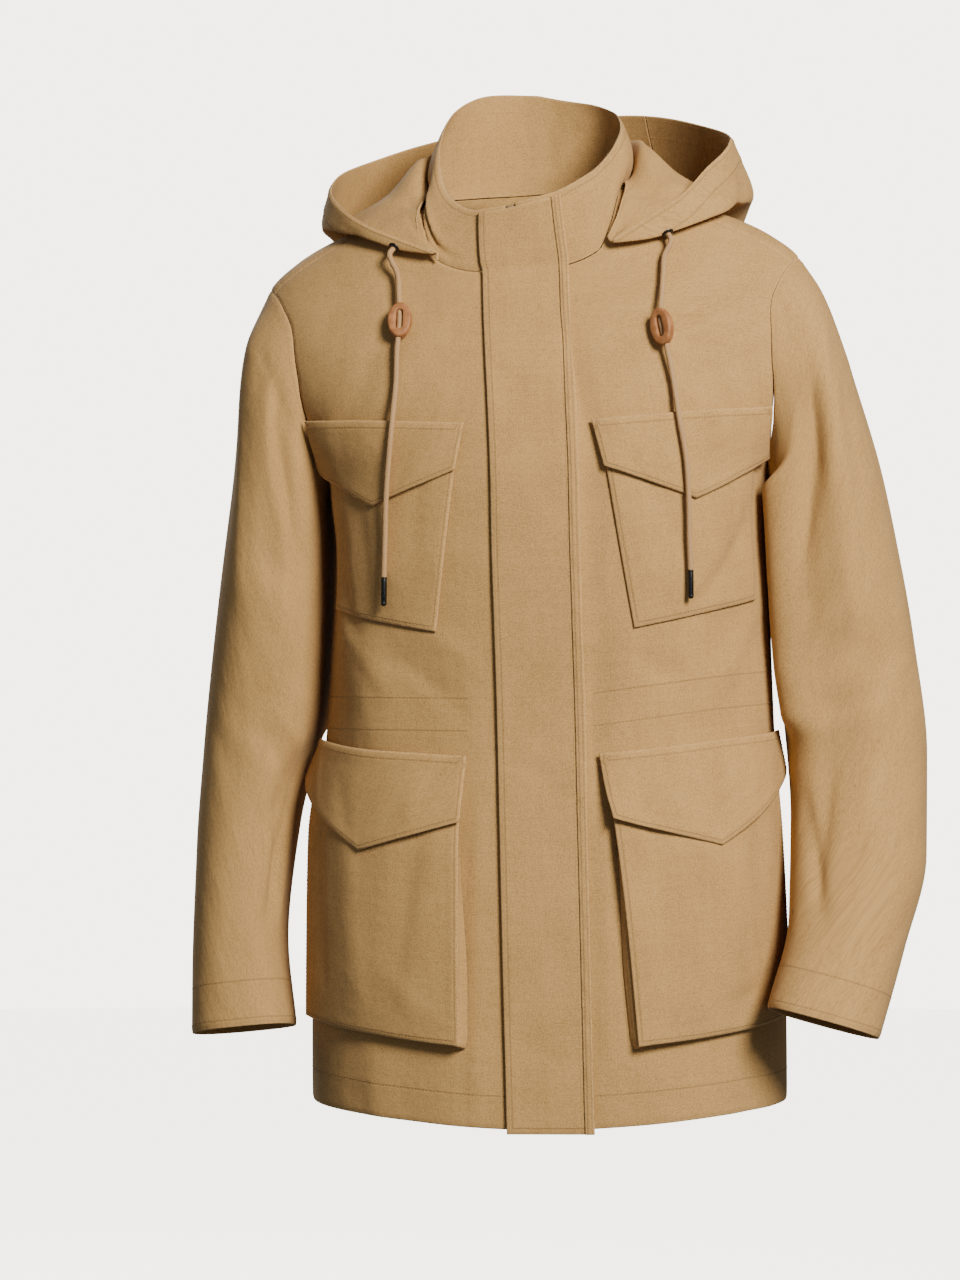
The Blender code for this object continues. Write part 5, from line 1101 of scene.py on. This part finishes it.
def makePlacket(made):
    middle, half, wide = front["middle"], front["half"], front["strip"]
    base = front["layGap"] + body["wall"]
    inset, stripInset = front["edgeStitch"], front["stripStitch"]

    def lift(offset, z):  # the fly lies on the front, stands off more at its free edge, and has creases
        share = (offset - middle + half) / (2 * half)
        rise = base + front["stands"] * smooth(share, front["standing"]["share"], front["standing"]["rise"])
        free = smooth(z, front["edgeLift"]["z"], front["edgeLift"]["rise"])
        rise = rise + free * (1 - ease(share / 0.45))
        return rise + foldsAt(offset - middle + half, z, front["creases"], 1.0, 1.0, body["creaseFade"])

    across = middle - half + 2 * half * closeEnds(30, 2 * half)
    fly, outer, normal, u, v = stripPiece(
        "frontPlacket", "placket", across, lift, body["wall"], 150, 0.0005, 0.0028, made, 0.83,
        lambda u, v: np.minimum(u, v) - inset,
    )
    far = u[:, -1:] - u
    sewing = [
        crossing(outer, normal, u - inset, [v - front["lowStitch"]], 1),
        crossing(outer, normal, v - front["lowStitch"], [u - front["lowStitch"], far - 0.01]),
        crossing(outer, normal, far - front["sewnStitch"], [v - 0.004], 1),
    ]
    start = middle + half - wide

    def stripLift(offset, z):  # a low dome across, with a slight uneven ripple along
        dome = np.sin(np.pi * np.clip((offset - start) / wide, 0, 1))
        ripple = front["stripRipple"] * np.sin(z * 210 + 2.4 * np.sin(z * 37)) * dome
        onFly = lift(offset * 0 + middle + half - wide / 2, z)
        rise = front["stripDome"] * dome - front["stripRipple"] + ripple
        return onFly + front["seamGap"] + front["stripWall"] + rise

    across = start + wide * np.array([0, 0.07, 0.16, 0.28, 0.42, 0.58, 0.72, 0.84, 0.93, 1])
    strip, outer, normal, u, v = stripPiece(
        "placketStrip", "placket_strip", across, stripLift, front["stripWall"] * 0.8, 300,
        0.0003, 0.0012, made, 0.19, lambda u, v: np.abs(u - wide / 2) - wide / 2 + stripInset,
    )
    for level in (stripInset, wide - stripInset):
        sewing.append(crossing(outer, normal, u - level, [v - 0.002], 1))
    print("placket made")
    return {"frontPlacket": fly, "placketStrip": strip}, sewing


def makeZip(tapeFinish, metal):
    half, chain, rise = front["tapeHalf"], front["chainHalf"], front["chainRise"]
    knots = np.array([-half, -chain - 0.0006, -chain, chain, chain + 0.0006, half])
    back = -(body["wall"] + front["layGap"]) + np.array([0, 0, rise, rise, 0, 0]) * 0.45

    def lift(offset, z):
        return np.interp(offset, knots, back) + 0 * z

    across = [-half, -half + 0.0012, -half * 0.75, -half / 2, -chain - 0.0008, -chain, -chain / 2, 0]
    across = np.array(across + [-k for k in across[-2::-1]])
    low = body["hem"] + front["tapeUp"]
    outer, inner = (
        stripSurface(across, lambda offset, z: lift(offset, z) - depth, front["tapeTop"], low, 140, False)
        for depth in (0.0, front["tapeWall"])
    )
    edge = edgeDistance(*runs(outer))
    tape = clothPiece("zipTape", "zip", [outer], [inner], [edge], [edge * 0 + 1], tapeFinish, 0.43)
    # the closed chain: two rows of little metal blocks that reach past each other by turns
    depth = rise * 0.6 - body["wall"] - front["layGap"]
    line = stripSurface(
        np.array([-0.0005, 0.0, 0.0005]), lambda offset, z: 0 * offset * z + depth,
        front["tapeTop"] - front["chainDown"], low + front["chainUp"], 140, False,
    )
    middle = line[:, 1]
    run = lengthAlong(middle)
    at = np.arange(0.002, run[-1] - 0.002, front["toothPitch"] / 2)
    p = pointsAt(at, run, middle)
    side = unit(pointsAt(at, run, line[:, 2] - line[:, 0]))
    up = unit(pointsAt(at, run, np.gradient(middle, axis=0)))
    out = np.cross(side, up)
    odd = np.arange(len(at)) % 2 == 1
    hand = np.where(odd, 1.0, -1.0)[:, None]
    near, end = front["toothEnds"]
    corners = [
        p + side * hand * (front["toothOff"] + front["toothWide"] * a * shrink)
        + up * (b * front["toothHigh"] * shrink) + out * depth
        for depth, shrink in front["toothLayers"]
        for a, b in ((near, -1), (end, -1), (end, 1), (near, 1))
    ]
    k = np.arange(4)
    band = np.stack([k, (k + 1) % 4, 4 + (k + 1) % 4, 4 + k], 1)
    block = np.concatenate([[[3, 2, 1, 0], [8, 9, 10, 11]], band, band + 4])
    faces = block[None] + (np.arange(len(at)) * len(corners))[:, None, None]
    faces[~odd] = faces[~odd, :, ::-1]  # the other hand's blocks are mirrored
    teeth = meshFrom("zipTeeth", np.stack(corners, 1).reshape(-1, 3), faces.reshape(-1, 4).tolist(), metal)
    teeth.data.shade_flat()
    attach(teeth, "root")
    print("zip made:", len(at), "teeth")
    return {"zipTape": tape}


# pockets: each corner is its distance round from centre front, and its height
pocket = {
    "chest": {
        "topIn": (0.058, -0.192), "topOut": (0.205, -0.181),
        "lowOut": (0.205, -0.341), "lowIn": (0.083, -0.363),
    },
    "chestFlap": {
        "topIn": (0.053, -0.1905), "topOut": (0.218, -0.179),
        "lowOut": (0.227, -0.218), "lowIn": (0.062, -0.229),
        "tip": (0.137, -0.2565),
    },
    "lower": {
        "topIn": (0.06, -0.47), "topOut": (0.236, -0.454), "lowOut": (0.248, -0.69), "lowIn": (0.072, -0.708),
    },
    "lowerFlap": {
        "topIn": (0.055, -0.467), "topOut": (0.238, -0.452),
        "lowOut": (0.25, -0.487), "lowIn": (0.061, -0.521),
        "tip": (0.15, -0.545),
    },
    "chestShift": 0.004, "lowerSkew": 0.008, "flapSkew": 0.28,
    "chestPuff": 0.003, "lowerPuff": 0.006, "edgeRise": 0.01, "chestStand": 0.0008,
    "chestFlapDown": 0.26, "chestFlapStand": 0.0012, "lowerFlapDown": 0.28, "lowerFlapStand": 0.0016,
    "mesh": 0.003, "lip": 0.0001, "lipAt": 0.0062, "lipWidth": 0.0022, "wave": 0.0007,
    "outerRise": {"left": 0.0015, "right": 0.0065}, "margin": 1.6,
    "gussetWall": 0.0012, "bellowsOut": (0.006, 0.0015), "bellowsFrom": 0.34, "bellowsIn": 0.0014,
    "edgeStitch": 0.0034, "topStitch": 0.0066,
    # soft folds over each piece, in metres from its inner edge and its lower edge
    "creases": {
        "chest_left": foldTable(
            (0.02, 0.15, 0.06, 0.02, -0.0012, 0.01, 0.004, 0.3),
            (0.1, 0.14, 0.075, 0.04, 0.0011, 0.01, -0.003, 0.2),
            (0.115, 0.06, 0.06, 0.012, -0.001, 0.008, 0.002, 0.2),
        ),
        "chest_right": foldTable(
            (0.03, 0.155, 0.022, 0.04, -0.001, 0.009, 0.003, 0.2),
            (0.105, 0.13, 0.07, 0.02, -0.0014, 0.01, -0.004, 0.3),
            (0.06, 0.11, 0.046, 0.024, 0.001, 0.01, 0.003, 0.2),
        ),
        "lower_left": foldTable(
            (0.03, 0.215, 0.022, 0.05, -0.0022, 0.013, 0.004, 0.3),
            (0.075, 0.2, 0.09, 0.03, 0.0018, 0.015, 0.005, 0.2),
            (0.14, 0.205, 0.128, 0.06, -0.002, 0.014, -0.004, 0.3),
            (0.15, 0.05, 0.07, 0.02, -0.0014, 0.011, 0.004, 0.2),
        ),
        "lower_right": foldTable(
            (0.034, 0.22, 0.06, 0.04, -0.002, 0.014, -0.004, 0.3),
            (0.105, 0.19, 0.095, 0.03, 0.002, 0.015, 0.004, 0.2),
            (0.15, 0.21, 0.142, 0.04, -0.0022, 0.012, 0.004, 0.3),
            (0.07, 0.056, 0.02, 0.02, 0.0012, 0.011, 0.003, 0.2),
        ),
        "chestFlap_left": foldTable(
            (0.03, 0.03, 0.04, -0.004, 0.0009, 0.009, 0.001, 0.2),
            (0.12, 0.034, 0.112, 0.004, -0.0009, 0.009, 0.001, 0.2),
        ),
        "chestFlap_right": foldTable(
            (0.046, 0.034, 0.056, 0.0, -0.0009, 0.009, 0.001, 0.2),
            (0.13, 0.03, 0.124, 0.004, 0.001, 0.01, 0.001, 0.2),
        ),
        "lowerFlap_left": foldTable(
            (0.026, 0.052, 0.034, 0.004, -0.0012, 0.011, 0.001, 0.2),
            (0.14, 0.046, 0.132, 0.006, 0.0012, 0.011, 0.001, 0.2),
            (0.09, 0.05, 0.094, 0.01, -0.0008, 0.01, 0.001, 0.2),
        ),
        "lowerFlap_right": foldTable(
            (0.04, 0.05, 0.046, 0.006, 0.0012, 0.011, 0.001, 0.2),
            (0.12, 0.048, 0.114, 0.006, -0.0012, 0.011, 0.001, 0.2),
            (0.166, 0.04, 0.164, 0.006, 0.0008, 0.009, 0.001, 0.2),
        ),
    },
}


def patchPlace(corners, across, down):
    # (distance round, z) over a four-sided patch: across 0 at its inner edge, down 0 at its top
    across, down = np.broadcast_arrays(np.asarray(across, float), np.asarray(down, float))
    at = []
    for k in (0, 1):
        top, low = (
            corners[level + "In"][k] * (1 - across) + corners[level + "Out"][k] * across
            for level in ("top", "low")
        )
        at.append(top * (1 - down) + low * down)
    if "tip" in corners:
        reach = tipReach(corners)
        drop = corners["tip"][1] - (corners["lowIn"][1] * (1 - reach) + corners["lowOut"][1] * reach)
        at[1] = at[1] + drop * np.minimum(across / reach, (1 - across) / (1 - reach)) * down
    return at


def tipReach(corners):
    return (corners["tip"][0] - corners["lowIn"][0]) / (corners["lowOut"][0] - corners["lowIn"][0])


def hang(girth, down, side, kind):  # the shift or skew that both pockets of a pair share
    if kind.startswith("chest"):
        return girth * side + pocket["chestShift"]
    return girth * side + pocket["lowerSkew"] * down * (pocket["flapSkew"] if kind == "lowerFlap" else 1.0)


def panelEnd(z):  # the angle at which a front ends at height z
    angle, level = armhole(np.linspace(0, 120, 241))
    return np.interp(z, level, angle)


def puff(a, d, powerAcross, powerDown):  # 0 on all sides of a pocket and 1 in its middle
    down = np.abs(np.sin(np.pi * np.clip(d, 0, 1))) ** powerDown
    return np.abs(np.sin(np.pi * a)) ** powerAcross * down


def chestLift(a, d):  # lies on the chest, swells in its middle and stands off a little at its outer side
    swell = pocket["chestPuff"] * puff(a, d, 0.7, 0.7)
    return front["layGap"] + body["wall"] + swell + pocket["chestStand"] * ease((a - 0.6) / 0.4)


def lowerLift(a, d, rise):  # swells too, and below its flap its sides stand off on the bellows
    stand = ease(d / 0.35) * (pocket["edgeRise"] * (1 - a) ** 2 + rise * a**2)
    return 1.4 * front["layGap"] + body["wall"] + pocket["lowerPuff"] * puff(a, d, 0.8, 0.6) + stand


def patchPiece(kind, word, liftAt, made, name, node):
    # a grid between the patch's corners, laid on the front and lifted off it by its form, creases and edges
    corners, side, flap = pocket[kind], 1 if word == "left" else -1, "Flap" in kind
    width, height = corners["topOut"][0] - corners["topIn"][0], corners["topIn"][1] - corners["lowIn"][1]
    across = closeEnds(round(width / pocket["mesh"]), width)
    if flap:
        across[np.abs(across - tipReach(corners)).argmin()] = tipReach(corners)
    down = closeEnds(round(height / pocket["mesh"]), height)[::-1, None]
    across, down = np.broadcast_arrays(across[None], down)
    girth, z = patchPlace(corners, across, down)
    angle = angleAt(hang(girth, down, side, kind), z) * side
    end = panelEnd(z) - pocket["margin"] * (1 + ease((-0.18 - z) / 0.03))
    angle = np.where(z > body["underarm"], np.minimum(angle, end - (1 - across) * 0.5), angle) * side
    surface, normal = torso(angle, z)
    lift = liftAt(across, down)
    u, v, edge, roll = rolledEdge(surface + normal * lift[..., None])
    fold = foldsAt(u, v, pocket["creases"][kind + "_" + word], 1.0, 1.0, body["creaseFade"])
    lift = lift + fold * ease(edge / 0.012)
    if flap:  # the free edge of a flap is never quite straight
        lift = lift + pocket["wave"] * down**2 * np.sin(across * (11 if side > 0 else 9) + side * 1.3)
    lip = np.exp(-(((edge - pocket["lipAt"]) / pocket["lipWidth"]) ** 2)) * (1 - ease((edge - 0.02) / 0.01))
    outer = surface + normal * (lift + roll + pocket["lip"] * lip)[..., None]
    inner = surface + normal * (lift - body["wall"])[..., None]
    inset = pocket["edgeStitch"]
    lines = edgeDistance(u, v, "lrb") - inset
    if flap:
        top = v[-1:] - v - pocket["topStitch"]
        lines = np.where(np.abs(top) < np.abs(lines), top, lines)
    if side < 0:
        grids = (outer, inner, normal, edge, lines, u, v)
        outer, inner, normal, edge, lines, u, v = (k[:, ::-1] for k in grids)
    piece = clothPiece(name, node, [outer], [inner], [edge], [lines], made, 0.11 if side > 0 else 0.57)
    far = np.maximum(u.max(axis=1, keepdims=True) - u, 0)
    ends = [u - inset, far - inset]
    sewing = [crossing(outer, normal, end, [v - inset], 1) for end in ends]
    sewing.append(crossing(outer, normal, v - inset, ends))
    if flap:
        sewing.append(crossing(outer, normal, v[-1:] - v - pocket["topStitch"], ends))
    return piece, sewing


def makePockets(made):
    pieces, sewing = {}, []
    flapGap = front["layGap"] + body["wall"]
    for word in ("left", "right"):
        rise = pocket["outerRise"][word]
        lifts = {
            "chest": chestLift,
            "chestFlap": lambda a, d: (
                chestLift(a, d * pocket["chestFlapDown"]) + flapGap + pocket["chestFlapStand"] * d
            ),
            "lower": lambda a, d: lowerLift(a, d, rise),
            "lowerFlap": lambda a, d: (
                lowerLift(a, d * pocket["lowerFlapDown"], rise) + flapGap + pocket["lowerFlapStand"] * d
            ),
        }
        for kind, lift in lifts.items():
            name = kind + ("" if "Flap" in kind else "Pocket") + word.title()
            node = kind.replace("Flap", "_flap") + ("" if "Flap" in kind else "_pocket") + "_" + word
            pieces[name], rows = patchPiece(kind, word, lift, made, name, node)
            sewing += rows
        pieces["gusset" + word.title()] = makeGusset(word, rise, made)
    print("pockets made")
    return pieces, sewing


def makeGusset(word, rise, made):
    # rows round the pocket's side, bottom and side, each rising from the coat to the pocket's edge,
    # folded in halfway
    side = 1 if word == "left" else -1
    corners = pocket["lower"]
    down = np.linspace(pocket["bellowsFrom"], 1, 60)[:-1]
    a = np.concatenate([0 * down, [0, 0, 0], np.linspace(0, 1, 62)[1:-1], [1, 1, 1], 0 * down + 1])
    d = np.concatenate([down, np.ones(66), down[::-1]])
    turn = [0 * down, [0.12, 0.5, 0.88], np.ones(60), [1.12, 1.5, 1.88], 0 * down + 2]
    turn = np.concatenate(turn) * np.pi / 2
    outG, outZ = -np.cos(turn), -np.sin(turn)
    girth, z = patchPlace(corners, a, d)
    top = lowerLift(a, d, rise) - body["wall"] - front["layGap"]
    low = front["layGap"] + 0.0002
    full = ease((d - 0.3) / 0.5)
    spread = np.where(outG < -0.5, *pocket["bellowsOut"])
    spread = np.convolve(np.pad(spread, 4, "edge"), np.ones(9) / 9, "valid")
    t = np.linspace(0, 1, 17)[None]
    bellow = smooth(t, np.array([0, 0.5, 1.0]), np.array([1.0, 0.9, 0.0])) - 0.22 * np.sin(np.pi * t) ** 2
    faces = []
    for inset in (0.0, pocket["gussetWall"]):
        out = (spread * full)[:, None] * bellow - pocket["bellowsIn"] - inset
        lift = low + (top - low)[:, None] * t
        across, up = girth[:, None] + out * outG[:, None], z[:, None] + out * outZ[:, None]
        angle = angleAt(hang(across, d[:, None], side, "lower"), up)
        surface, normal = torso(angle, up)
        faces.append(surface + normal * lift[..., None])
    if side > 0:
        faces = [k[:, ::-1] for k in faces]
    plain = 0 * faces[0][..., 0]  # no painted edge highlight and no sewing on it
    return clothPiece(
        "gusset" + word.title(), "pocket_gusset_" + word, faces[:1], faces[1:],
        [plain + 0.01], [plain + 1], made, 0.7,
    )


cords = {
    "length": {"left": 0.303, "right": 0.297}, "diameter": 0.0045, "start": 0.0004, "out": 0.0065,
    "steps": 35, "fine": 12, "tipFrom": 32, "braidPitch": 700, "braidRise": 0.03,
    "eyeletTurn": {"left": 59.5, "right": -57.0}, "eyeletUp": {"left": 0.735, "right": 0.795},
    "hole": 0.0026, "ring": 0.0054, "high": 0.0014, "seat": 0.0001,
    "right": table(
        "x z off",
        (-0.1066, -0.06, 0.0075), (-0.1058, -0.08, 0.0072), (-0.1055, -0.1024, 0.0075),
        (-0.109, -0.124, 0.0062), (-0.112, -0.155, 0.0055), (-0.1152, -0.187, 0.0095),
        (-0.1177, -0.22, 0.0125), (-0.1202, -0.2535, 0.0125), (-0.1217, -0.282, 0.011),
        (-0.1227, -0.3095, 0.0105), (-0.1236, -0.343, 0.0105),
    ),
    "left": table(
        "x z off",
        (0.116, -0.058, 0.0075), (0.1145, -0.074, 0.0075), (0.112, -0.094, 0.0098),
        (0.1095, -0.1142, 0.0118), (0.113, -0.135, 0.0095), (0.1164, -0.16, 0.0065),
        (0.1178, -0.192, 0.01), (0.1196, -0.225, 0.0125), (0.1207, -0.2585, 0.0125),
        (0.1216, -0.288, 0.011), (0.1228, -0.315, 0.0105), (0.123, -0.343, 0.0105),
    ),
    "toggleZ": {"left": -0.1075, "right": -0.1065}, "toggleTurn": {"left": -0.6, "right": -0.05},
    "toggleWide": 0.0102, "toggleHigh": 0.0162,
    # rings of the toggle, each with its depth: the slot's half width and length, the leaves' share of size
    "slot": (
        (-0.0026, 0.0026, 0.0088), (0.0, 0.0028, 0.009), (0.0027, 0.0029, 0.0091), (0.0033, 0.0031, 0.0093),
        (0.0036, 0.0035, 0.0097),
    ),
    "leaves": (
        (0.0037, 0.6), (0.0037, 0.76), (0.0036, 0.85), (0.0034, 0.915), (0.0028, 0.965), (0.0019, 0.993),
        (0.001, 1.0), (0.0003, 0.985), (0.0, 0.972), (-0.0003, 0.985), (-0.001, 1.0), (-0.002, 0.995),
        (-0.003, 0.965), (-0.0038, 0.9), (-0.0044, 0.78), (-0.0046, 0.55), (-0.0046, 0.2),
    ),
}


def frontPoint(x, z, lift):  # the point of the posed front at x and height z before posing, moved out
    turns = np.linspace(-85, 85, 171)
    ring = torsoForm(turns[None], z[:, None], False)[..., 0]
    angle = np.array([np.interp(at, row, turns) for at, row in zip(x, ring)])
    surface, normal = torso(angle, z, False)
    return surface + normal * lift[:, None]


def hoodPlace(turn, share):
    grid = hoodGrid(np.array([turn + 1.5, turn, turn - 1.5]), np.linspace(0, 1, 51))
    k = round(share * 50)
    return grid[1, k], unit(gridNormals(grid)[1, k - 2:k + 3].mean(axis=0))


def cordRoute(word, middle, out):
    # straight out of the eyelet, then a smooth curve through the table's points on the front
    rows = cords[word]
    start = middle + np.outer([cords["start"], cords["out"]], out)
    knots = np.concatenate([start, frontPoint(rows["x"], rows["z"], rows["off"])])
    run = lengthAlong(knots)
    at = np.linspace(0, run[-1], cords["steps"] * cords["fine"] + 1)
    return np.stack([rounded(at, run, knots[:, k]) for k in range(3)], -1)


def makeCord(word, made):
    middle, out = hoodPlace(cords["eyeletTurn"][word], cords["eyeletUp"][word])
    route = cordRoute(word, middle, out)
    line = route[:cords["tipFrom"] * cords["fine"] + 1]
    along = unit(np.gradient(line, axis=0))
    side = unit(np.cross(along, [0.0, -1.0, 0.0]))
    up = np.cross(side, along)
    run = lengthAlong(line)
    turn = np.linspace(0, math.tau, 49)
    # braid: ribs that run round both ways, each a small wave of the radius
    wind = run[:, None] * cords["braidPitch"]
    plait = 0.5 * np.cos(8 * turn[None] + wind) + 0.5 * np.cos(8 * turn[None] - wind)
    radius = cords["diameter"] / 2 * (1 + cords["braidRise"] * (np.cos(16 * turn)[None] + plait))
    ring = side[:, None] * np.cos(turn)[None, :, None] + up[:, None] * np.sin(turn)[None, :, None]
    points = line[:, None] + ring * radius[..., None]
    place = np.stack(np.broadcast_arrays(turn[None] / math.tau, run[:, None]), -1)
    piece = ringMesh(f"hoodCord{word.title()}", points, made, place)
    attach(piece, "root")
    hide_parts("cord_" + word)
    return piece, route, middle, out


def ringMesh(name, points, made, place=None, sharp=60):
    # rings of points whose last column lies on the first, closed at both ends
    rows, columns = points.shape[:2]
    index = np.arange(rows * columns).reshape(rows, columns)
    index[:, -1] = index[:, 0]
    quads = gridQuads(rows, columns)
    faces = index.ravel()[quads].tolist() + [index[0, -2::-1].tolist(), index[-1, :-1].tolist()]
    uvs = None
    if place is not None:
        uvs = np.concatenate([place.reshape(-1, 2)[quads.ravel()], np.zeros((2 * (columns - 1), 2))])
    used, new = np.unique(np.concatenate([np.asarray(f) for f in faces]), return_inverse=True)
    cuts = np.cumsum([len(f) for f in faces])[:-1]
    faces = [f.tolist() for f in np.split(new.ravel(), cuts)]
    piece = meshFrom(name, points.reshape(-1, 3)[used], faces, made, uvs)
    piece.data.set_sharp_from_angle(angle=math.radians(sharp))
    return piece


def turnedRings(base, along, side, profile, around):  # each (radius, distance along) of a profile as one ring
    turn = np.linspace(0, math.tau, around)
    ring = side[None] * np.cos(turn)[:, None] + np.cross(along, side)[None] * np.sin(turn)[:, None]
    profile = np.array(profile)
    return base + profile[:, 1, None, None] * along + profile[:, 0, None, None] * ring[None]


def makeTip(word, route, made):
    last, end = route[cords["tipFrom"] * cords["fine"]], route[-1]
    start = last + unit(end - last) * cords["start"]
    along = unit(end - start)
    side = unit(np.cross(along, [0, -1.0, 0]))
    profile = [
        (0.00225, 0.0), (0.00238, 0.0001), (0.00246, 0.0004), (0.00248, 0.001), (0.0024, 0.0014),
        (0.00232, 0.0017), (0.0024, 0.002), (0.00244, 0.0024), (0.00244, 0.02), (0.00236, 0.0203),
        (0.00236, 0.0208), (0.00243, 0.0211), (0.0024, 0.022), (0.00226, 0.0228), (0.002, 0.0234),
        (0.0015, 0.0238), (0.0008, 0.024), (0.0003, 0.024),
    ]
    piece = ringMesh(f"cordTip{word.title()}", turnedRings(start, along, side, profile, 49), made, None, 35)
    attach(piece, "root")
    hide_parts("cord_tip_" + word)
    return piece


def makeEyelet(word, middle, out, made):
    side = unit(np.cross(out, [0, 0, 1.0]))
    hole, edge, low, high = cords["hole"], cords["ring"], cords["seat"], cords["seat"] + cords["high"]
    profile = [
        (hole, low), (hole, high * 0.55), (hole + 0.0002, high * 0.85), (hole + 0.0007, high),
        (hole + 0.0012, high * 0.96), (edge - 0.001, high * 0.8), (edge - 0.0004, high * 0.6),
        (edge - 0.0001, high * 0.35), (edge, low), (hole, low),
    ]
    points = turnedRings(middle, out, side, profile, 61)[:, ::-1]
    rows, columns = points.shape[:2]
    index = np.arange(rows * columns).reshape(rows, columns)
    index[:, -1], index[-1] = index[:, 0], index[0]
    faces = index.ravel()[gridQuads(rows, columns)]
    used, new = np.unique(faces, return_inverse=True)
    piece = meshFrom(f"eyelet{word.title()}", points.reshape(-1, 3)[used], new.reshape(-1, 4).tolist(), made)
    piece.data.set_sharp_from_angle(angle=math.radians(50))
    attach(piece, "root")
    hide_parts("eyelet_" + word)
    return piece


def makeToggle(word, route, made):
    # two leather leaves round the cord: ovals from the slot's floor out over the face and round to the back
    upper = route[:len(route) // 2 + 1, 2]
    i = round(int(np.argmin(np.abs(upper - cords["toggleZ"][word]))) / cords["fine"]) * cords["fine"]
    along = unit(route[i + cords["fine"]] - route[i - cords["fine"]])
    facing = np.array([cords["toggleTurn"][word], -1.0, 0.0])
    facing = unit(facing - along * (facing @ along))
    side = np.cross(facing, along)
    turn = np.linspace(0, math.tau, 81)
    wide, high = cords["toggleWide"], cords["toggleHigh"]
    rows = []
    for depth, slotWide, slotHigh in cords["slot"]:
        straight = (slotHigh - slotWide) * np.tanh(6 * np.sin(turn))
        rows.append((depth, slotWide * np.cos(turn), slotWide * np.sin(turn) + straight))
    for depth, size in cords["leaves"]:
        longer = size if size > 0.9 else 0.35 + 0.611 * size  # the oval is longer near its middle
        tall = high * (longer if size > 0.25 else size)
        rows.append((depth, wide * size * np.cos(turn), tall * np.sin(turn)))
    points = np.stack([
        route[i] + facing * depth + side * a[:, None] - along * b[:, None] for depth, a, b in rows
    ])
    u, v = np.linspace(0, 0.09, 81), np.linspace(0, 0.03, len(rows))
    place = np.stack(np.meshgrid(u, v), -1)
    piece = ringMesh(f"toggle{word.title()}", points, made, place, 70)
    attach(piece, "root")
    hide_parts("toggle_" + word)
    return piece


def paintCord():
    # braid: fine diamonds that run round both ways, lighter on the strands
    made, paint, shader = newFinish("braidedCord", 0.82)
    shader.inputs["Specular IOR Level"].default_value = 0.2
    place = paint.node("ShaderNodeUVMap", {"uv_map": "uv"})
    strands = place.stretched(40.0, 900.0).noise(1.0, 2.0)
    soil = place.stretched(3.0, 30.0).noise(1.0, 2.0)
    base = paint.colour((0.4, 0.235, 0.11))
    base = base.blend(strands.within(0.25, 0.75), paint.colour((0.54, 0.335, 0.17)))
    base = base.blend(soil.within(0.45, 0.75) * 0.35, paint.colour((0.33, 0.195, 0.11)))
    return finishWith(made, shader, base, None, strands, 0.0004)


def paintLeather():
    # smooth tan leather: fine pores, a cloudy tan, pale scuffs, and slightly glossy
    made, paint, shader = newFinish("toggleLeather", 0.45)
    place = paint.node("ShaderNodeTexCoord", None, None, 3)
    pores = place.noise(1900.0, 3.0, 0.6)
    cloud = place.noise(140.0, 3.0)
    scuff = place.node("ShaderNodeMapping", None, {"Vector": place, "Scale": (900.0, 900.0, 190.0)})
    scuff = scuff.noise(1.0, 2.0)
    base = paint.colour((0.29, 0.106, 0.034))
    base = base.blend(cloud.within(0.32, 0.68), paint.colour((0.42, 0.176, 0.064)))
    base = base.blend(scuff.within(0.6, 0.78) * 0.5, paint.colour((0.5, 0.25, 0.12)))
    rough = 0.36 + pores * 0.28
    return finishWith(made, shader, base, rough, pores * 0.7 + cloud * 0.3, 0.0003)


def paintMetal(name, dark, bright, rough):
    # old metal: worn bright on a fine scratched grain
    made, paint, shader = newFinish(name, rough, 1.0)
    place = paint.node("ShaderNodeTexCoord", None, None, 3)
    grain = place.noise(1400.0, 3.0, 0.6)
    base = paint.colour(dark).blend(grain.within(0.38, 0.72), paint.colour(bright))
    return finishWith(made, shader, base, rough - 0.1 + grain * 0.26, grain, 0.0001)


def paintTape():
    made, paint, shader = newFinish("zipTapeCloth", 0.85)
    place = paint.node("ShaderNodeUVMap", {"uv_map": "uv"})
    rib = place.stretched(2200.0, 300.0).noise(1.0, 2.0)
    base = paint.colour((0.2, 0.135, 0.075)).blend(rib.within(0.3, 0.7), paint.colour((0.33, 0.225, 0.125)))
    return finishWith(made, shader, base, None, rib, 0.0003)


def paintThread():
    made, paint, shader = newFinish("sewingThread", 0.7)
    place = paint.node("ShaderNodeTexCoord", None, None, 3)
    shade = place.noise(260.0, 2.0)
    base = paint.colour([c * 0.8 for c in cloth["thread"]])
    base = base.blend(shade.within(0.3, 0.7), paint.colour(cloth["thread"]))
    return finishWith(made, shader, base)


makeStudio()
cordCloth, leather, thread = paintCord(), paintLeather(), paintThread()
gunmetal = paintMetal("gunmetal", (0.03, 0.03, 0.034), (0.115, 0.112, 0.11), 0.34)
brass = paintMetal("zipMetal", (0.05, 0.042, 0.03), (0.22, 0.185, 0.125), 0.38)
canvas, hoodCanvas, tape = paintCanvas("fieldCanvas"), paintCanvas("hoodCanvas"), paintTape()
for word in ("left", "right"):
    piece, route, middle, out = makeCord(word, cordCloth)
    makeTip(word, route, gunmetal)
    makeToggle(word, route, leather)
    makeEyelet(word, middle, out, gunmetal)
print("cords made")
pieces, sewing = {}, []
for make, finish in (
    (makeBody, canvas), (makeSleeves, canvas), (makePlacket, canvas), (makePockets, canvas),
    (makeHood, hoodCanvas),
):
    made, rows = make(finish)
    pieces.update(made)
    sewing += rows
pieces["standCollar"], rows = makeCollar(canvas)
pieces.update(makeZip(tape, brass))
sewing = [k for k in sewing + rows if len(k[0]) > 3]
makeStitches("sewing", sewing, thread)
